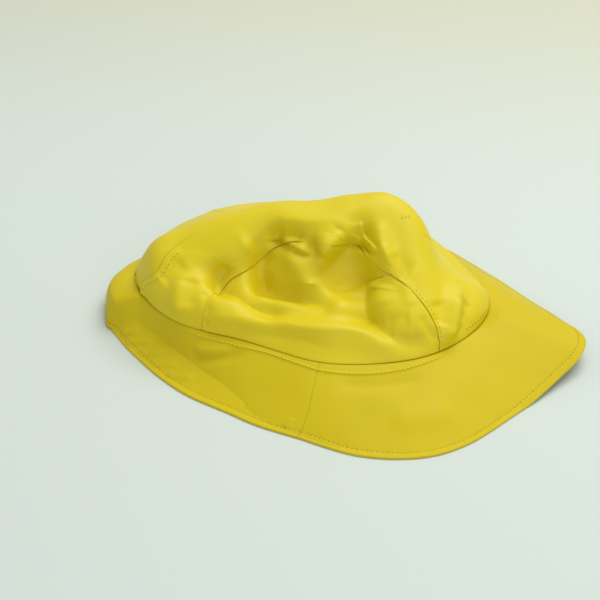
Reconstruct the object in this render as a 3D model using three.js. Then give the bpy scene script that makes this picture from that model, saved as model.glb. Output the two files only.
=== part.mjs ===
// A yellow sou'wester rain hat of coated cloth, lying on its brim with one side of the crown caved in.
// Millimetres, +Z up. The front brim points to -Y, the long neck brim to +Y, the caved side faces +X.
import * as THREE from 'three';

// Driving dimensions
const HEAD_LENGTH = 228;
const HEAD_WIDTH = 148;
const SEAM_HEIGHT = 24;
const CROWN_HEIGHT = 70;
const BRIM_REACH = 60;
const CROWN_CLOTH = 1.4;
const BRIM_CLOTH = 1.8;
const HEM_CLOTH = 2.4;
const HEM_WIDTH = 5;
const SEAM_GAP = 0.5;
const FOLD_WIDTH = 10;
const FOLD_RISE = 5;
const NEAR_ARCH_SPAN = 0.49;
const FAR_ARCH_SPAN = 0.49;
const ARCH_HEIGHT = 0.4;
const SIDE_SEAM_TURN = 0.257;
const ARCH_CENTRE = 0.545;
const ARCH_FULLNESS = 0.85;

// Brim stations, by turn round the hat from the centre front past the caved side.
// The seam is in halves of the head's width and length, the hem in reaches from the seam, lifts and the
// knee's height in seam heights. The knee is where the brim bends between seam and hem.
const BRIM_COLUMNS = [
  'turn', 'seamX', 'seamY', 'seamZ', 'hemX', 'hemY', 'hemZ', 'kneeOut', 'kneeUp', 'softness'];
const BRIM_STATIONS = [
  [0.0000,  0.27, -0.91, 0.96,  0.08, -0.37, -0.05, 0.78, 0.86, 0.6],
  [0.0450,  0.39, -0.86, 1.00,  0.13, -0.33, -0.05, 0.48, 0.58, 0.2],
  [0.0820,  0.55, -0.76, 1.00,  0.27, -0.22, -0.05, 0.24, 0.46, 0.0],
  [0.1200,  0.69, -0.62, 1.00,  0.43, -0.12, -0.05, 0.24, 0.38, 0.0],
  [0.1550,  0.77, -0.46, 1.00,  0.57, -0.07, -0.05, 0.41, 0.31, 0.0],
  [0.1875,  0.82, -0.29, 1.00,  0.68,  0.00, -0.05, 0.62, 0.25, 0.0],
  [0.2300,  0.92, -0.07, 1.00,  0.73,  0.00, -0.05, 0.85, 0.10, 0.0],
  [0.2600,  1.00,  0.11, 1.00,  0.73,  0.03, -0.05, 0.70, 0.33, 0.8],
  [0.3125,  0.99,  0.37, 1.00,  0.90,  0.17, -0.05, 0.50, 0.52, 1.0],
  [0.3750,  0.81,  0.69, 1.00,  0.95,  0.33, -0.05, 0.50, 0.54, 1.0],
  [0.4375,  0.46,  0.91, 1.00,  0.68,  0.55, -0.05, 0.50, 0.56, 1.0],
  [0.4700,  0.23,  0.98, 1.00,  0.40,  0.82,  0.21, 0.50, 0.60, 1.0],
  [0.4900,  0.07,  1.00, 1.00,  0.30,  0.97,  0.38, 0.50, 0.62, 1.0],
  [0.5080, -0.09,  0.99, 1.00,  0.22,  1.02,  0.42, 0.50, 0.62, 1.0],
  [0.5300, -0.28,  0.95, 1.00,  0.15,  0.85,  0.38, 0.50, 0.58, 1.0],
  [0.5625, -0.57,  0.82, 1.00, -0.13,  0.55,  0.17, 0.50, 0.50, 1.0],
  [0.6250, -0.89,  0.50, 1.00, -0.53,  0.32, -0.05, 0.50, 0.48, 1.0],
  [0.6875, -0.99,  0.14, 1.00, -0.70,  0.10, -0.05, 0.50, 0.50, 1.0],
  [0.7400, -0.99, -0.12, 1.00, -0.70, -0.05, -0.05, 0.50, 0.50, 1.0],
  [0.7900, -0.92, -0.39, 1.00, -0.62, -0.12, -0.05, 0.50, 0.50, 1.0],
  [0.8450, -0.76, -0.64, 0.96, -0.48, -0.18, -0.05, 0.50, 0.50, 1.0],
  [0.8800, -0.61, -0.77, 0.92, -0.38, -0.22, -0.05, 0.50, 0.50, 1.0],
  [0.9175, -0.39, -0.90, 0.88, -0.23, -0.27, -0.05, 0.50, 0.50, 1.0],
  [0.9550, -0.12, -0.98, 0.88, -0.08, -0.30, -0.05, 0.60, 0.56, 1.0],
  [0.9800,  0.08, -0.97, 0.92,  0.02, -0.33, -0.05, 0.72, 0.75, 0.9],
];

// Crown sections, from the front end (along 0) to the back end (along 1). Each section runs from the near
// seam over lip, foot, rim, ridge, shoulder and swell to the far seam. "In" is a share of the way across,
// "up" a share of the crown's height.
const CROWN_COLUMNS = [
  'along', 'lipIn', 'lipUp', 'footIn', 'footUp', 'rimIn', 'rimUp',
  'ridgeIn', 'ridgeUp', 'shoulderIn', 'shoulderUp', 'swellIn', 'swellUp'];
const CROWN_SECTIONS = [
  [0.000, 0.020, 0.00, 0.200, 0.00, 0.350, 0.00, 0.500, 0.00, 0.70, 0.00, 0.90, 0.00],
  [0.080, 0.050, 0.07, 0.200, 0.13, 0.350, 0.18, 0.500, 0.19, 0.70, 0.14, 0.92, 0.07],
  [0.150, 0.060, 0.15, 0.180, 0.28, 0.330, 0.39, 0.500, 0.41, 0.72, 0.29, 0.94, 0.15],
  [0.250, 0.080, 0.20, 0.220, 0.33, 0.340, 0.45, 0.500, 0.54, 0.73, 0.40, 0.96, 0.22],
  [0.350, 0.090, 0.25, 0.260, 0.31, 0.330, 0.46, 0.500, 0.66, 0.73, 0.46, 0.98, 0.25],
  [0.450, 0.165, 0.23, 0.295, 0.24, 0.445, 0.66, 0.575, 0.74, 0.79, 0.43, 0.98, 0.26],
  [0.550, 0.170, 0.25, 0.330, 0.28, 0.420, 0.70, 0.585, 0.80, 0.80, 0.51, 0.98, 0.27],
  [0.620, 0.180, 0.26, 0.335, 0.31, 0.405, 0.74, 0.595, 0.87, 0.81, 0.54, 0.98, 0.28],
  [0.700, 0.110, 0.28, 0.250, 0.43, 0.380, 0.62, 0.595, 0.89, 0.80, 0.58, 0.98, 0.28],
  [0.735, 0.090, 0.26, 0.220, 0.42, 0.360, 0.60, 0.590, 0.80, 0.79, 0.52, 0.97, 0.25],
  [0.770, 0.080, 0.23, 0.200, 0.38, 0.350, 0.52, 0.570, 0.64, 0.78, 0.43, 0.96, 0.21],
  [0.800, 0.080, 0.20, 0.200, 0.32, 0.350, 0.40, 0.560, 0.43, 0.77, 0.32, 0.95, 0.17],
  [0.850, 0.080, 0.17, 0.200, 0.26, 0.360, 0.29, 0.540, 0.27, 0.75, 0.20, 0.94, 0.12],
  [0.930, 0.060, 0.09, 0.200, 0.14, 0.360, 0.16, 0.520, 0.15, 0.72, 0.11, 0.92, 0.06],
  [1.000, 0.050, 0.00, 0.200, 0.00, 0.360, 0.00, 0.520, 0.00, 0.70, 0.00, 0.90, 0.00],
];

// Folds and dents of the crown, each a stroke between two places on it (along, across).
// Width is in fold widths and rise in fold rises, negative for a dent.
const FOLD_COLUMNS = ['fromAlong', 'fromAcross', 'toAlong', 'toAcross', 'width', 'rise'];
const FOLDS = [
  [0.495, 0.374, 0.535, 0.280, 0.9,  1.1],
  [0.535, 0.280, 0.585, 0.165, 0.8,  0.7],
  [0.435, 0.350, 0.430, 0.255, 0.8, -0.8],
  [0.450, 0.275, 0.556, 0.178, 0.6, -0.6],
  [0.460, 0.385, 0.525, 0.392, 0.7, -0.6],
  [0.550, 0.405, 0.575, 0.375, 0.6,  0.4],
  [0.327, 0.300, 0.345, 0.220, 0.9, -0.9],
  [0.348, 0.215, 0.456, 0.108, 0.6, -0.5],
  [0.456, 0.108, 0.639, 0.142, 0.6, -0.4],
  [0.639, 0.142, 0.731, 0.047, 0.7, -0.8],
  [0.343, 0.052, 0.670, 0.056, 0.9,  0.6],
  [0.628, 0.470, 0.620, 0.395, 0.8, -0.9],
  [0.668, 0.457, 0.695, 0.363, 0.6,  0.6],
  [0.246, 0.235, 0.242, 0.075, 0.7,  0.6],
  [0.294, 0.285, 0.384, 0.440, 0.9,  0.5],
  [0.842, 0.300, 0.812, 0.040, 0.7,  0.8],
  [0.868, 0.300, 0.845, 0.080, 0.6, -0.5],
];

// Centre seam of the crown over its length. In front it runs on the near side of the ridge.
const CENTRE_COLUMNS = ['along', 'across'];
const CENTRE_SEAM = [
  [0.000, 0.220],
  [0.110, 0.235],
  [0.165, 0.290],
  [0.200, 0.400],
  [0.240, 0.475],
  [0.300, 0.525],
  [0.450, 0.540],
  [0.730, 0.540],
  [0.850, 0.510],
  [1.000, 0.500],
];

// How finely each piece is divided
const ARCH_CELLS = 36;
const SEAM_CELLS = 12;
const NEAR_SIDE_ROWS = 12;
const FAR_SIDE_ROWS = 7;
const NEAR_TOP_ROWS = 10;
const FAR_TOP_ROWS = 8;
const BRIM_COLUMNS_PER_PIECE = 56;
const INNER_BRIM_ROWS = 4;
const OUTER_BRIM_ROWS = 3;
const KNEE_ROW = 0.5;
const END_TRIM = 0.02;
const STEEPEST_FLATTENED = 0.4;
const SLOPE_STEP = 0.002;

const PALE_YELLOW = 0xdcc73c;
const DEEP_YELLOW = 0xcdb92f;

const UP = new THREE.Vector3(0, 0, 1);

// Reads one row of a table as an object with named values
function named(columns, row) {
  return Object.fromEntries(columns.map((column, i) => [column, row[i]]));
}

// Smooth value of every column at a place: a cubic between rows, whose slope at a row is that of the
// parabola through it and its neighbours. A table with a period repeats end to end.
function readTable(columns, rows, place, period = 0) {
  const before = rows.slice(-2).map((row) => [row[0] - period, ...row.slice(1)]);
  const after = rows.slice(0, 2).map((row) => [row[0] + period, ...row.slice(1)]);
  const table = period ? [...before, ...rows, ...after] : rows;
  const last = table.length - 1;
  let i = 0;
  while (i < last - 1 && table[i + 1][0] <= place) i += 1;
  const chord = (a, column) => (table[a + 1][column] - table[a][column]) / (table[a + 1][0] - table[a][0]);
  const slope = (a, column) => {
    if (a === 0) return chord(0, column);
    if (a === last) return chord(last - 1, column);
    const left = table[a][0] - table[a - 1][0];
    const right = table[a + 1][0] - table[a][0];
    return (chord(a - 1, column) * right + chord(a, column) * left) / (left + right);
  };
  const span = table[i + 1][0] - table[i][0];
  const x = (place - table[i][0]) / span;
  const values = table[i].map((value, column) => {
    const end = table[i + 1][column];
    return (2 * x ** 3 - 3 * x ** 2 + 1) * value + (x ** 3 - 2 * x ** 2 + x) * span * slope(i, column)
      + (3 * x ** 2 - 2 * x ** 3) * end + (x ** 3 - x ** 2) * span * slope(i + 1, column);
  });
  return named(columns, values);
}

// Place of the crown seam and of the hem at one turn round the hat
function brimStation(turn) {
  const wrapped = turn - Math.floor(turn);
  const row = readTable(BRIM_COLUMNS, BRIM_STATIONS, wrapped, 1);
  const seam = new THREE.Vector3(
    row.seamX * HEAD_WIDTH / 2, row.seamY * HEAD_LENGTH / 2, row.seamZ * SEAM_HEIGHT);
  const hem = new THREE.Vector3(
    seam.x + row.hemX * BRIM_REACH, seam.y + row.hemY * BRIM_REACH, row.hemZ * SEAM_HEIGHT);
  return { ...row, seam, hem, softness: THREE.MathUtils.clamp(row.softness, 0, 1) };
}

// Point of the brim: out is 0 at the crown seam, KNEE_ROW at the knee and 1 at the hem. A hard knee is two
// straight stretches, a soft one a parabola through the knee's own point.
function brimPoint(turn, out) {
  const { seam, hem, kneeOut, kneeUp, softness } = brimStation(turn);
  const knee = seam.clone().lerp(hem, kneeOut);
  knee.z = hem.z + (seam.z - hem.z) * kneeUp;
  const straight = out < KNEE_ROW
    ? seam.clone().lerp(knee, out / KNEE_ROW)
    : knee.clone().lerp(hem, (out - KNEE_ROW) / (1 - KNEE_ROW));
  const pull = knee.clone().multiplyScalar(2).addScaledVector(seam, -0.5).addScaledVector(hem, -0.5);
  const curved = new THREE.Vector3()
    .addScaledVector(seam, (1 - out) ** 2)
    .addScaledVector(pull, 2 * out * (1 - out))
    .addScaledVector(hem, out ** 2);
  return straight.lerp(curved, softness);
}

// Point of the smooth crown: along runs from the front end to the back end, across from near to far seam
function crownBase(along, across) {
  const near = brimStation(along / 2).seam;
  const far = brimStation(1 - along / 2).seam;
  const row = readTable(CROWN_COLUMNS, CROWN_SECTIONS, along);
  const inner = ['lip', 'foot', 'rim', 'ridge', 'shoulder', 'swell'].map((name) => near.clone()
    .lerp(far, row[`${name}In`]).addScaledVector(UP, row[`${name}Up`] * CROWN_HEIGHT));
  const points = [near, ...inner, far];
  const first = near.clone().multiplyScalar(2).sub(points[1]);
  const final = far.clone().multiplyScalar(2).sub(points[points.length - 2]);
  const chain = [first, ...points, final];
  const place = THREE.MathUtils.clamp(across, 0, 1) * (points.length - 1);
  const i = Math.min(Math.floor(place), points.length - 2);
  const x = place - i;
  return new THREE.Vector3()
    .addScaledVector(chain[i], (-x + 2 * x ** 2 - x ** 3) / 2)
    .addScaledVector(chain[i + 1], (2 - 5 * x ** 2 + 3 * x ** 3) / 2)
    .addScaledVector(chain[i + 2], (x + 4 * x ** 2 - 3 * x ** 3) / 2)
    .addScaledVector(chain[i + 3], (-(x ** 2) + x ** 3) / 2);
}

// Outward direction of the crown or the brim, from small steps along it and across it
function outward(surface, along, across) {
  const alongStep = surface(along + SLOPE_STEP, across).sub(surface(along - SLOPE_STEP, across));
  const acrossStep = surface(along, across + SLOPE_STEP).sub(surface(along, across - SLOPE_STEP));
  return alongStep.cross(acrossStep).normalize();
}

function crownOutward(surface, along, across) {
  const inside = (value) => THREE.MathUtils.clamp(value, SLOPE_STEP, 1 - SLOPE_STEP);
  return outward(surface, inside(along), inside(across));
}

function brimOutward(turn, out) {
  const inside = THREE.MathUtils.clamp(out, SLOPE_STEP, 1 - SLOPE_STEP);
  return outward(brimPoint, turn, inside).negate();
}

const foldStrokes = FOLDS.map((row) => {
  const fold = named(FOLD_COLUMNS, row);
  const stroke = new THREE.Line3(
    crownBase(fold.fromAlong, fold.fromAcross), crownBase(fold.toAlong, fold.toAcross));
  return { stroke, width: fold.width * FOLD_WIDTH, rise: fold.rise * FOLD_RISE };
});

// Point of the crown with its folds: each fold lifts the cloth by a bell-shaped ridge along its stroke
function crownPoint(along, across) {
  const point = crownBase(along, across);
  const direction = crownOutward(crownBase, along, across);
  const closest = new THREE.Vector3();
  const lift = foldStrokes.reduce((sum, { stroke, width, rise }) => {
    stroke.closestPointToPoint(point, true, closest);
    return sum + rise * Math.exp(-((closest.distanceTo(point) / width) ** 2));
  }, 0);
  const fade = Math.min(1, across * 12, (1 - across) * 12);
  return point.addScaledVector(direction, lift * fade);
}

// Direction that halves the angle between crown and brim at the seam, so that both pieces are mitred there
function mitre(turn) {
  const near = turn <= 0.5;
  const crownSide = crownOutward(crownPoint, near ? turn * 2 : 2 - turn * 2, near ? 0 : 1);
  const brimSide = brimOutward(turn, 0);
  const middle = crownSide.clone().add(brimSide).normalize();
  return {
    crown: middle.clone().divideScalar(middle.dot(crownSide)),
    brim: middle.clone().divideScalar(middle.dot(brimSide)),
  };
}

// Moves the outer rows and columns of a grid inwards along the cloth, to leave a gap at each seam
function insetEdges(grid, inset) {
  const last = grid.length - 1;
  const end = grid[0].length - 1;
  const toward = (vertex, neighbour, step) => {
    const way = neighbour.middle.clone().sub(vertex.middle).normalize();
    vertex.middle.addScaledVector(way, step);
  };
  grid.forEach((column) => {
    toward(column[0], column[1], inset.low);
    toward(column[end], column[end - 1], inset.high);
  });
  for (let j = 0; j <= end; j += 1) {
    toward(grid[0][j], grid[1][j], inset.start);
    toward(grid[last][j], grid[last - 1][j], inset.finish);
  }
}

// A sheet of cloth: a grid of middle points with their directions becomes a closed wall.
// Nothing lies below the surface that the hat rests on.
function clothGeometry(grid) {
  const columns = grid.length;
  const rows = grid[0].length;
  const positions = [];
  const place = (vertex, side) => {
    const point = vertex.middle.clone().addScaledVector(vertex.direction, side * vertex.cloth / 2);
    positions.push(point.x, point.y, Math.max(0, point.z));
  };
  [1, -1].forEach((side) => grid.forEach((column) => column.forEach((vertex) => place(vertex, side))));
  const at = (i, j, side) => (side > 0 ? 0 : columns * rows) + i * rows + j;
  const faces = [];
  const quad = (a, b, c, d) => faces.push(a, b, c, a, c, d);
  for (let i = 0; i < columns - 1; i += 1) {
    for (let j = 0; j < rows - 1; j += 1) {
      quad(at(i, j, 1), at(i + 1, j, 1), at(i + 1, j + 1, 1), at(i, j + 1, 1));
      quad(at(i, j, -1), at(i, j + 1, -1), at(i + 1, j + 1, -1), at(i + 1, j, -1));
    }
    quad(at(i, 0, -1), at(i + 1, 0, -1), at(i + 1, 0, 1), at(i, 0, 1));
    quad(at(i, rows - 1, 1), at(i + 1, rows - 1, 1), at(i + 1, rows - 1, -1), at(i, rows - 1, -1));
  }
  for (let j = 0; j < rows - 1; j += 1) {
    quad(at(0, j, 1), at(0, j + 1, 1), at(0, j + 1, -1), at(0, j, -1));
    quad(at(columns - 1, j, -1), at(columns - 1, j + 1, -1), at(columns - 1, j + 1, 1), at(columns - 1, j, 1));
  }
  const geometry = new THREE.BufferGeometry();
  geometry.setAttribute('position', new THREE.Float32BufferAttribute(positions, 3));
  geometry.setIndex(faces);
  geometry.computeVertexNormals();
  return geometry;
}

function clothMesh(name, grid, colour) {
  const material = new THREE.MeshStandardMaterial({
    color: colour, roughness: 0.48, metalness: 0, side: THREE.DoubleSide });
  const mesh = new THREE.Mesh(clothGeometry(grid), material);
  mesh.name = name;
  return mesh;
}

// A crown panel between a lower and an upper line drawn on the crown, each giving [along, across] at a
// share of its length. Where a line lies on the crown seam, its edge is mitred against the brim.
function crownPanel(name, lower, upper, [columns, rows], colour) {
  const grid = [];
  for (let i = 0; i <= columns; i += 1) {
    const share = i / columns;
    const [lowAlong, lowAcross] = lower(share);
    const [highAlong, highAcross] = upper(share);
    const column = [];
    for (let j = 0; j <= rows; j += 1) {
      const along = THREE.MathUtils.lerp(lowAlong, highAlong, j / rows);
      const across = THREE.MathUtils.lerp(lowAcross, highAcross, j / rows);
      const onSeam = across <= 0 || across >= 1;
      const turn = across <= 0 ? along / 2 : 1 - along / 2;
      const direction = onSeam ? mitre(turn).crown : crownOutward(crownPoint, along, across);
      column.push({ middle: crownPoint(along, across), direction, cloth: CROWN_CLOTH });
    }
    grid.push(column);
  }
  const inset = SEAM_GAP / 2;
  insetEdges(grid, { low: inset, high: inset, start: inset, finish: inset });
  return clothMesh(name, grid, colour);
}

// Outline of a side panel: a rounded arch whose legs are upright at the feet, from its front foot to its
// back foot. Share 0 to 1 runs along it.
function archLine(span) {
  return (share) => {
    const angle = Math.PI * share;
    const height = ARCH_HEIGHT * Math.max(0, Math.sin(angle)) ** ARCH_FULLNESS;
    return [ARCH_CENTRE - span / 2 * Math.cos(angle), height];
  };
}

// The stretch of crown seam under the arch
function archFoot(span) {
  return (share) => [ARCH_CENTRE - span / 2 * Math.cos(Math.PI * share), 0];
}

// A line without its first and last cell, where a side panel would run out to nothing
function trimmed(line) {
  return (share) => line(THREE.MathUtils.lerp(1, ARCH_CELLS - 1, share) / ARCH_CELLS);
}

// Centre seam of the crown, from the front end over the ridge to the back end
function centreSeam(share) {
  const along = THREE.MathUtils.lerp(END_TRIM, 1 - END_TRIM, share);
  return [along, readTable(CENTRE_COLUMNS, CENTRE_SEAM, along).across];
}

// Lower edge of an upper panel: along the crown seam, up and over the arch, and along the seam again
function upperPanelFoot(span) {
  const arch = archLine(span);
  const cells = ARCH_CELLS + 2 * SEAM_CELLS;
  return (share) => {
    const cell = share * cells;
    const past = cell - SEAM_CELLS - ARCH_CELLS;
    if (cell < SEAM_CELLS) {
      return [THREE.MathUtils.lerp(END_TRIM, ARCH_CENTRE - span / 2, cell / SEAM_CELLS), 0];
    }
    if (past > 0) {
      return [THREE.MathUtils.lerp(ARCH_CENTRE + span / 2, 1 - END_TRIM, past / SEAM_CELLS), 0];
    }
    return arch((cell - SEAM_CELLS) / ARCH_CELLS);
  };
}

// The same line on the far half, counted from the far seam
function mirrored(line) {
  return (share) => {
    const [along, across] = line(share);
    return [along, 1 - across];
  };
}

// Shares out from hem to crown seam at one turn: the hem's own width, then the outer and the inner brim
function brimRows(turn) {
  const outerLength = brimPoint(turn, KNEE_ROW).distanceTo(brimPoint(turn, 1));
  const hemStart = 1 - Math.min(0.5, HEM_WIDTH / outerLength) * (1 - KNEE_ROW);
  const outer = Array.from({ length: OUTER_BRIM_ROWS + 1 },
    (_, i) => THREE.MathUtils.lerp(hemStart, KNEE_ROW, i / OUTER_BRIM_ROWS));
  const inner = Array.from({ length: INNER_BRIM_ROWS },
    (_, i) => KNEE_ROW * (1 - (i + 1) / INNER_BRIM_ROWS));
  return [1, ...outer, ...inner];
}

// One vertex of the brim. Where the cloth would sink into the surface below, it lies flat on it.
function brimVertex(turn, out, cloth) {
  const middle = brimPoint(turn, out);
  const direction = out === 0 ? mitre(turn - Math.floor(turn)).brim : brimOutward(turn, out);
  const lowest = cloth / 2 * Math.abs(direction.z);
  if (middle.z >= lowest) return { middle, direction, cloth };
  const flat = direction.z > STEEPEST_FLATTENED;
  middle.z = flat ? cloth / 2 : lowest;
  return { middle, direction: flat ? UP.clone() : direction, cloth };
}

function brimPiece(name, fromTurn, toTurn, colour) {
  const grid = [];
  for (let i = 0; i <= BRIM_COLUMNS_PER_PIECE; i += 1) {
    const turn = THREE.MathUtils.lerp(fromTurn, toTurn, i / BRIM_COLUMNS_PER_PIECE);
    grid.push(brimRows(turn).map((out, j) => brimVertex(turn, out, j <= 1 ? HEM_CLOTH : BRIM_CLOTH)));
  }
  const inset = SEAM_GAP / 2;
  insetEdges(grid, { low: 0, high: inset, start: inset, finish: inset });
  return clothMesh(name, grid, colour);
}

const hat = new THREE.Group();
const sideCells = ARCH_CELLS - 2;
const topCells = ARCH_CELLS + 2 * SEAM_CELLS;
hat.add(crownPanel('crown_near_side', trimmed(archFoot(NEAR_ARCH_SPAN)), trimmed(archLine(NEAR_ARCH_SPAN)),
  [sideCells, NEAR_SIDE_ROWS], PALE_YELLOW));
hat.add(crownPanel('crown_near_top', upperPanelFoot(NEAR_ARCH_SPAN), centreSeam,
  [topCells, NEAR_TOP_ROWS], PALE_YELLOW));
hat.add(crownPanel('crown_far_top', centreSeam, mirrored(upperPanelFoot(FAR_ARCH_SPAN)),
  [topCells, FAR_TOP_ROWS], PALE_YELLOW));
hat.add(crownPanel('crown_far_side', mirrored(trimmed(archLine(FAR_ARCH_SPAN))),
  mirrored(trimmed(archFoot(FAR_ARCH_SPAN))), [sideCells, FAR_SIDE_ROWS], PALE_YELLOW));
hat.add(brimPiece('brim_front', -SIDE_SEAM_TURN, SIDE_SEAM_TURN, DEEP_YELLOW));
hat.add(brimPiece('brim_back', SIDE_SEAM_TURN, 1 - SIDE_SEAM_TURN, DEEP_YELLOW));

// The origin is under the middle of the hat, on the surface that it rests on
const extent = new THREE.Box3().setFromObject(hat);
const middle = extent.getCenter(new THREE.Vector3());
hat.position.set(-middle.x, -middle.y, -extent.min.z);

export default hat;
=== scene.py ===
"""The looks of a yellow sou'wester rain hat that lies on its brim with one side of its crown caved in.

The hat is six panels of coated cloth, sewn together: four for the crown and two for the brim. Each panel
is a thin closed shell over one shared form, so that neighbours meet along their seams. The form works in
millimetres with +Z up: the short front brim points to -Y, the long neck brim to +Y, and the caved side
faces +X. Meshes are written in metres in the frame's own coordinates.
"""

import logging  # noqa: E402
import math  # noqa: E402
from dataclasses import dataclass, field  # noqa: E402
from enum import Enum  # noqa: E402
from typing import Callable, Sequence  # noqa: E402

import bpy  # noqa: E402
import numpy as np  # noqa: E402
from mathutils import Matrix, Vector  # noqa: E402


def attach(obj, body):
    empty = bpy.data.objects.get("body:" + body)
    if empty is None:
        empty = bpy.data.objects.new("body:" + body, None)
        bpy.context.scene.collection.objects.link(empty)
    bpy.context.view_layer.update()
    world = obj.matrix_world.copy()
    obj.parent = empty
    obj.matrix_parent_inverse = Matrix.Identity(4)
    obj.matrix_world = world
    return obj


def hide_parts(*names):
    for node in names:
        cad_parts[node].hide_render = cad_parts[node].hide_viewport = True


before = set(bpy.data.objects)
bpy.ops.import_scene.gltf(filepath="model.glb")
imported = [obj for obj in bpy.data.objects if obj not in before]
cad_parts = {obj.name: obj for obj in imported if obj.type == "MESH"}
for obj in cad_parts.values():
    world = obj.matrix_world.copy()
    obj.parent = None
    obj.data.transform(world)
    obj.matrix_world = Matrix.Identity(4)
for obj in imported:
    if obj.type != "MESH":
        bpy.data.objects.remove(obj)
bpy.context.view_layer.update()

Array = np.ndarray
Surface = Callable[[Array, Array], Array]
Line = Callable[[Array], tuple[Array, Array]]
Triple = tuple[float, float, float]

LOG = logging.getLogger("souwester")
METRES = 0.001
BODY = "root"
UP = np.array([0.0, 0.0, 1.0])

# Brim stations by turn round the hat, from the centre front past the caved side: the seam in halves of
# the head's width and length, the hem in reaches from the seam, lifts and the knee's height in seam heights.
# turn, seam x, y, z, hem x, y, z, knee out, knee up, softness
BRIM_STATIONS = np.array([
    (0.0000, 0.27, -0.91, 0.96, 0.08, -0.37, -0.05, 0.78, 0.86, 0.6),
    (0.0450, 0.39, -0.86, 1.00, 0.13, -0.33, -0.05, 0.48, 0.58, 0.0),
    (0.0820, 0.55, -0.76, 1.00, 0.27, -0.22, -0.05, 0.24, 0.46, 0.0),
    (0.1200, 0.69, -0.62, 1.00, 0.43, -0.12, -0.05, 0.24, 0.38, 0.0),
    (0.1550, 0.77, -0.46, 1.00, 0.57, -0.07, -0.05, 0.41, 0.31, 0.0),
    (0.1875, 0.82, -0.29, 1.00, 0.68, 0.00, -0.05, 0.62, 0.25, 0.0),
    (0.2300, 0.92, -0.07, 1.00, 0.73, 0.00, -0.05, 0.85, 0.10, 0.0),
    (0.2600, 1.00, 0.11, 1.00, 0.73, 0.03, -0.05, 0.70, 0.33, 0.8),
    (0.3125, 0.99, 0.37, 1.00, 0.90, 0.17, -0.05, 0.50, 0.52, 1.0),
    (0.3750, 0.81, 0.69, 1.00, 0.95, 0.33, -0.05, 0.50, 0.54, 1.0),
    (0.4375, 0.46, 0.91, 1.00, 0.68, 0.55, -0.05, 0.50, 0.56, 1.0),
    (0.4700, 0.23, 0.98, 1.00, 0.40, 0.82, 0.21, 0.50, 0.60, 1.0),
    (0.4900, 0.07, 1.00, 1.00, 0.30, 0.97, 0.38, 0.50, 0.62, 1.0),
    (0.5080, -0.09, 0.99, 1.00, 0.22, 1.02, 0.42, 0.50, 0.62, 1.0),
    (0.5300, -0.28, 0.95, 1.00, 0.15, 0.85, 0.38, 0.50, 0.58, 1.0),
    (0.5625, -0.57, 0.82, 1.00, -0.13, 0.55, 0.17, 0.50, 0.50, 1.0),
    (0.6250, -0.89, 0.50, 1.00, -0.53, 0.32, -0.05, 0.50, 0.48, 1.0),
    (0.6875, -0.99, 0.14, 1.00, -0.70, 0.10, -0.05, 0.50, 0.50, 1.0),
    (0.7400, -0.99, -0.12, 1.00, -0.70, -0.05, -0.05, 0.50, 0.50, 1.0),
    (0.7900, -0.92, -0.39, 1.00, -0.62, -0.12, -0.05, 0.50, 0.50, 1.0),
    (0.8450, -0.76, -0.64, 0.96, -0.48, -0.18, -0.05, 0.50, 0.50, 1.0),
    (0.8800, -0.61, -0.77, 0.92, -0.38, -0.22, -0.05, 0.50, 0.50, 1.0),
    (0.9175, -0.39, -0.90, 0.88, -0.23, -0.27, -0.05, 0.56, 0.56, 1.0),
    (0.9550, -0.12, -0.98, 0.88, -0.08, -0.30, -0.05, 0.70, 0.74, 0.9),
    (0.9800, 0.08, -0.97, 0.92, 0.02, -0.33, -0.05, 0.80, 0.85, 0.8),
])

# Crown sections from the front end (0) to the back end (1), each from the near seam to the far seam.
# along, then share of the way across and share of the crown's height for lip, foot, rim, ridge,
# shoulder and swell
CROWN_SECTIONS = np.array([
    (0.000, 0.020, 0.00, 0.200, 0.00, 0.350, 0.00, 0.500, 0.00, 0.70, 0.00, 0.90, 0.00),
    (0.080, 0.050, 0.07, 0.200, 0.13, 0.350, 0.18, 0.500, 0.19, 0.70, 0.14, 0.92, 0.07),
    (0.150, 0.060, 0.15, 0.180, 0.28, 0.330, 0.39, 0.500, 0.41, 0.72, 0.29, 0.94, 0.15),
    (0.250, 0.080, 0.20, 0.220, 0.33, 0.340, 0.45, 0.500, 0.54, 0.73, 0.40, 0.96, 0.22),
    (0.350, 0.090, 0.25, 0.260, 0.31, 0.330, 0.46, 0.500, 0.66, 0.73, 0.46, 0.98, 0.25),
    (0.450, 0.165, 0.23, 0.295, 0.24, 0.445, 0.66, 0.575, 0.74, 0.79, 0.43, 0.98, 0.26),
    (0.550, 0.170, 0.25, 0.330, 0.28, 0.420, 0.70, 0.585, 0.80, 0.80, 0.51, 0.98, 0.27),
    (0.620, 0.180, 0.26, 0.335, 0.31, 0.405, 0.74, 0.595, 0.87, 0.81, 0.54, 0.98, 0.28),
    (0.700, 0.110, 0.28, 0.250, 0.43, 0.380, 0.62, 0.595, 0.89, 0.80, 0.58, 0.98, 0.28),
    (0.735, 0.090, 0.26, 0.220, 0.42, 0.360, 0.60, 0.590, 0.80, 0.79, 0.52, 0.97, 0.25),
    (0.770, 0.080, 0.23, 0.200, 0.38, 0.350, 0.52, 0.570, 0.64, 0.78, 0.43, 0.96, 0.21),
    (0.800, 0.080, 0.20, 0.200, 0.32, 0.350, 0.40, 0.560, 0.43, 0.77, 0.32, 0.95, 0.17),
    (0.850, 0.080, 0.17, 0.200, 0.26, 0.360, 0.29, 0.540, 0.27, 0.75, 0.20, 0.94, 0.12),
    (0.930, 0.060, 0.09, 0.200, 0.14, 0.360, 0.16, 0.520, 0.15, 0.72, 0.11, 0.92, 0.06),
    (1.000, 0.050, 0.00, 0.200, 0.00, 0.360, 0.00, 0.520, 0.00, 0.70, 0.00, 0.90, 0.00),
])

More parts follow.
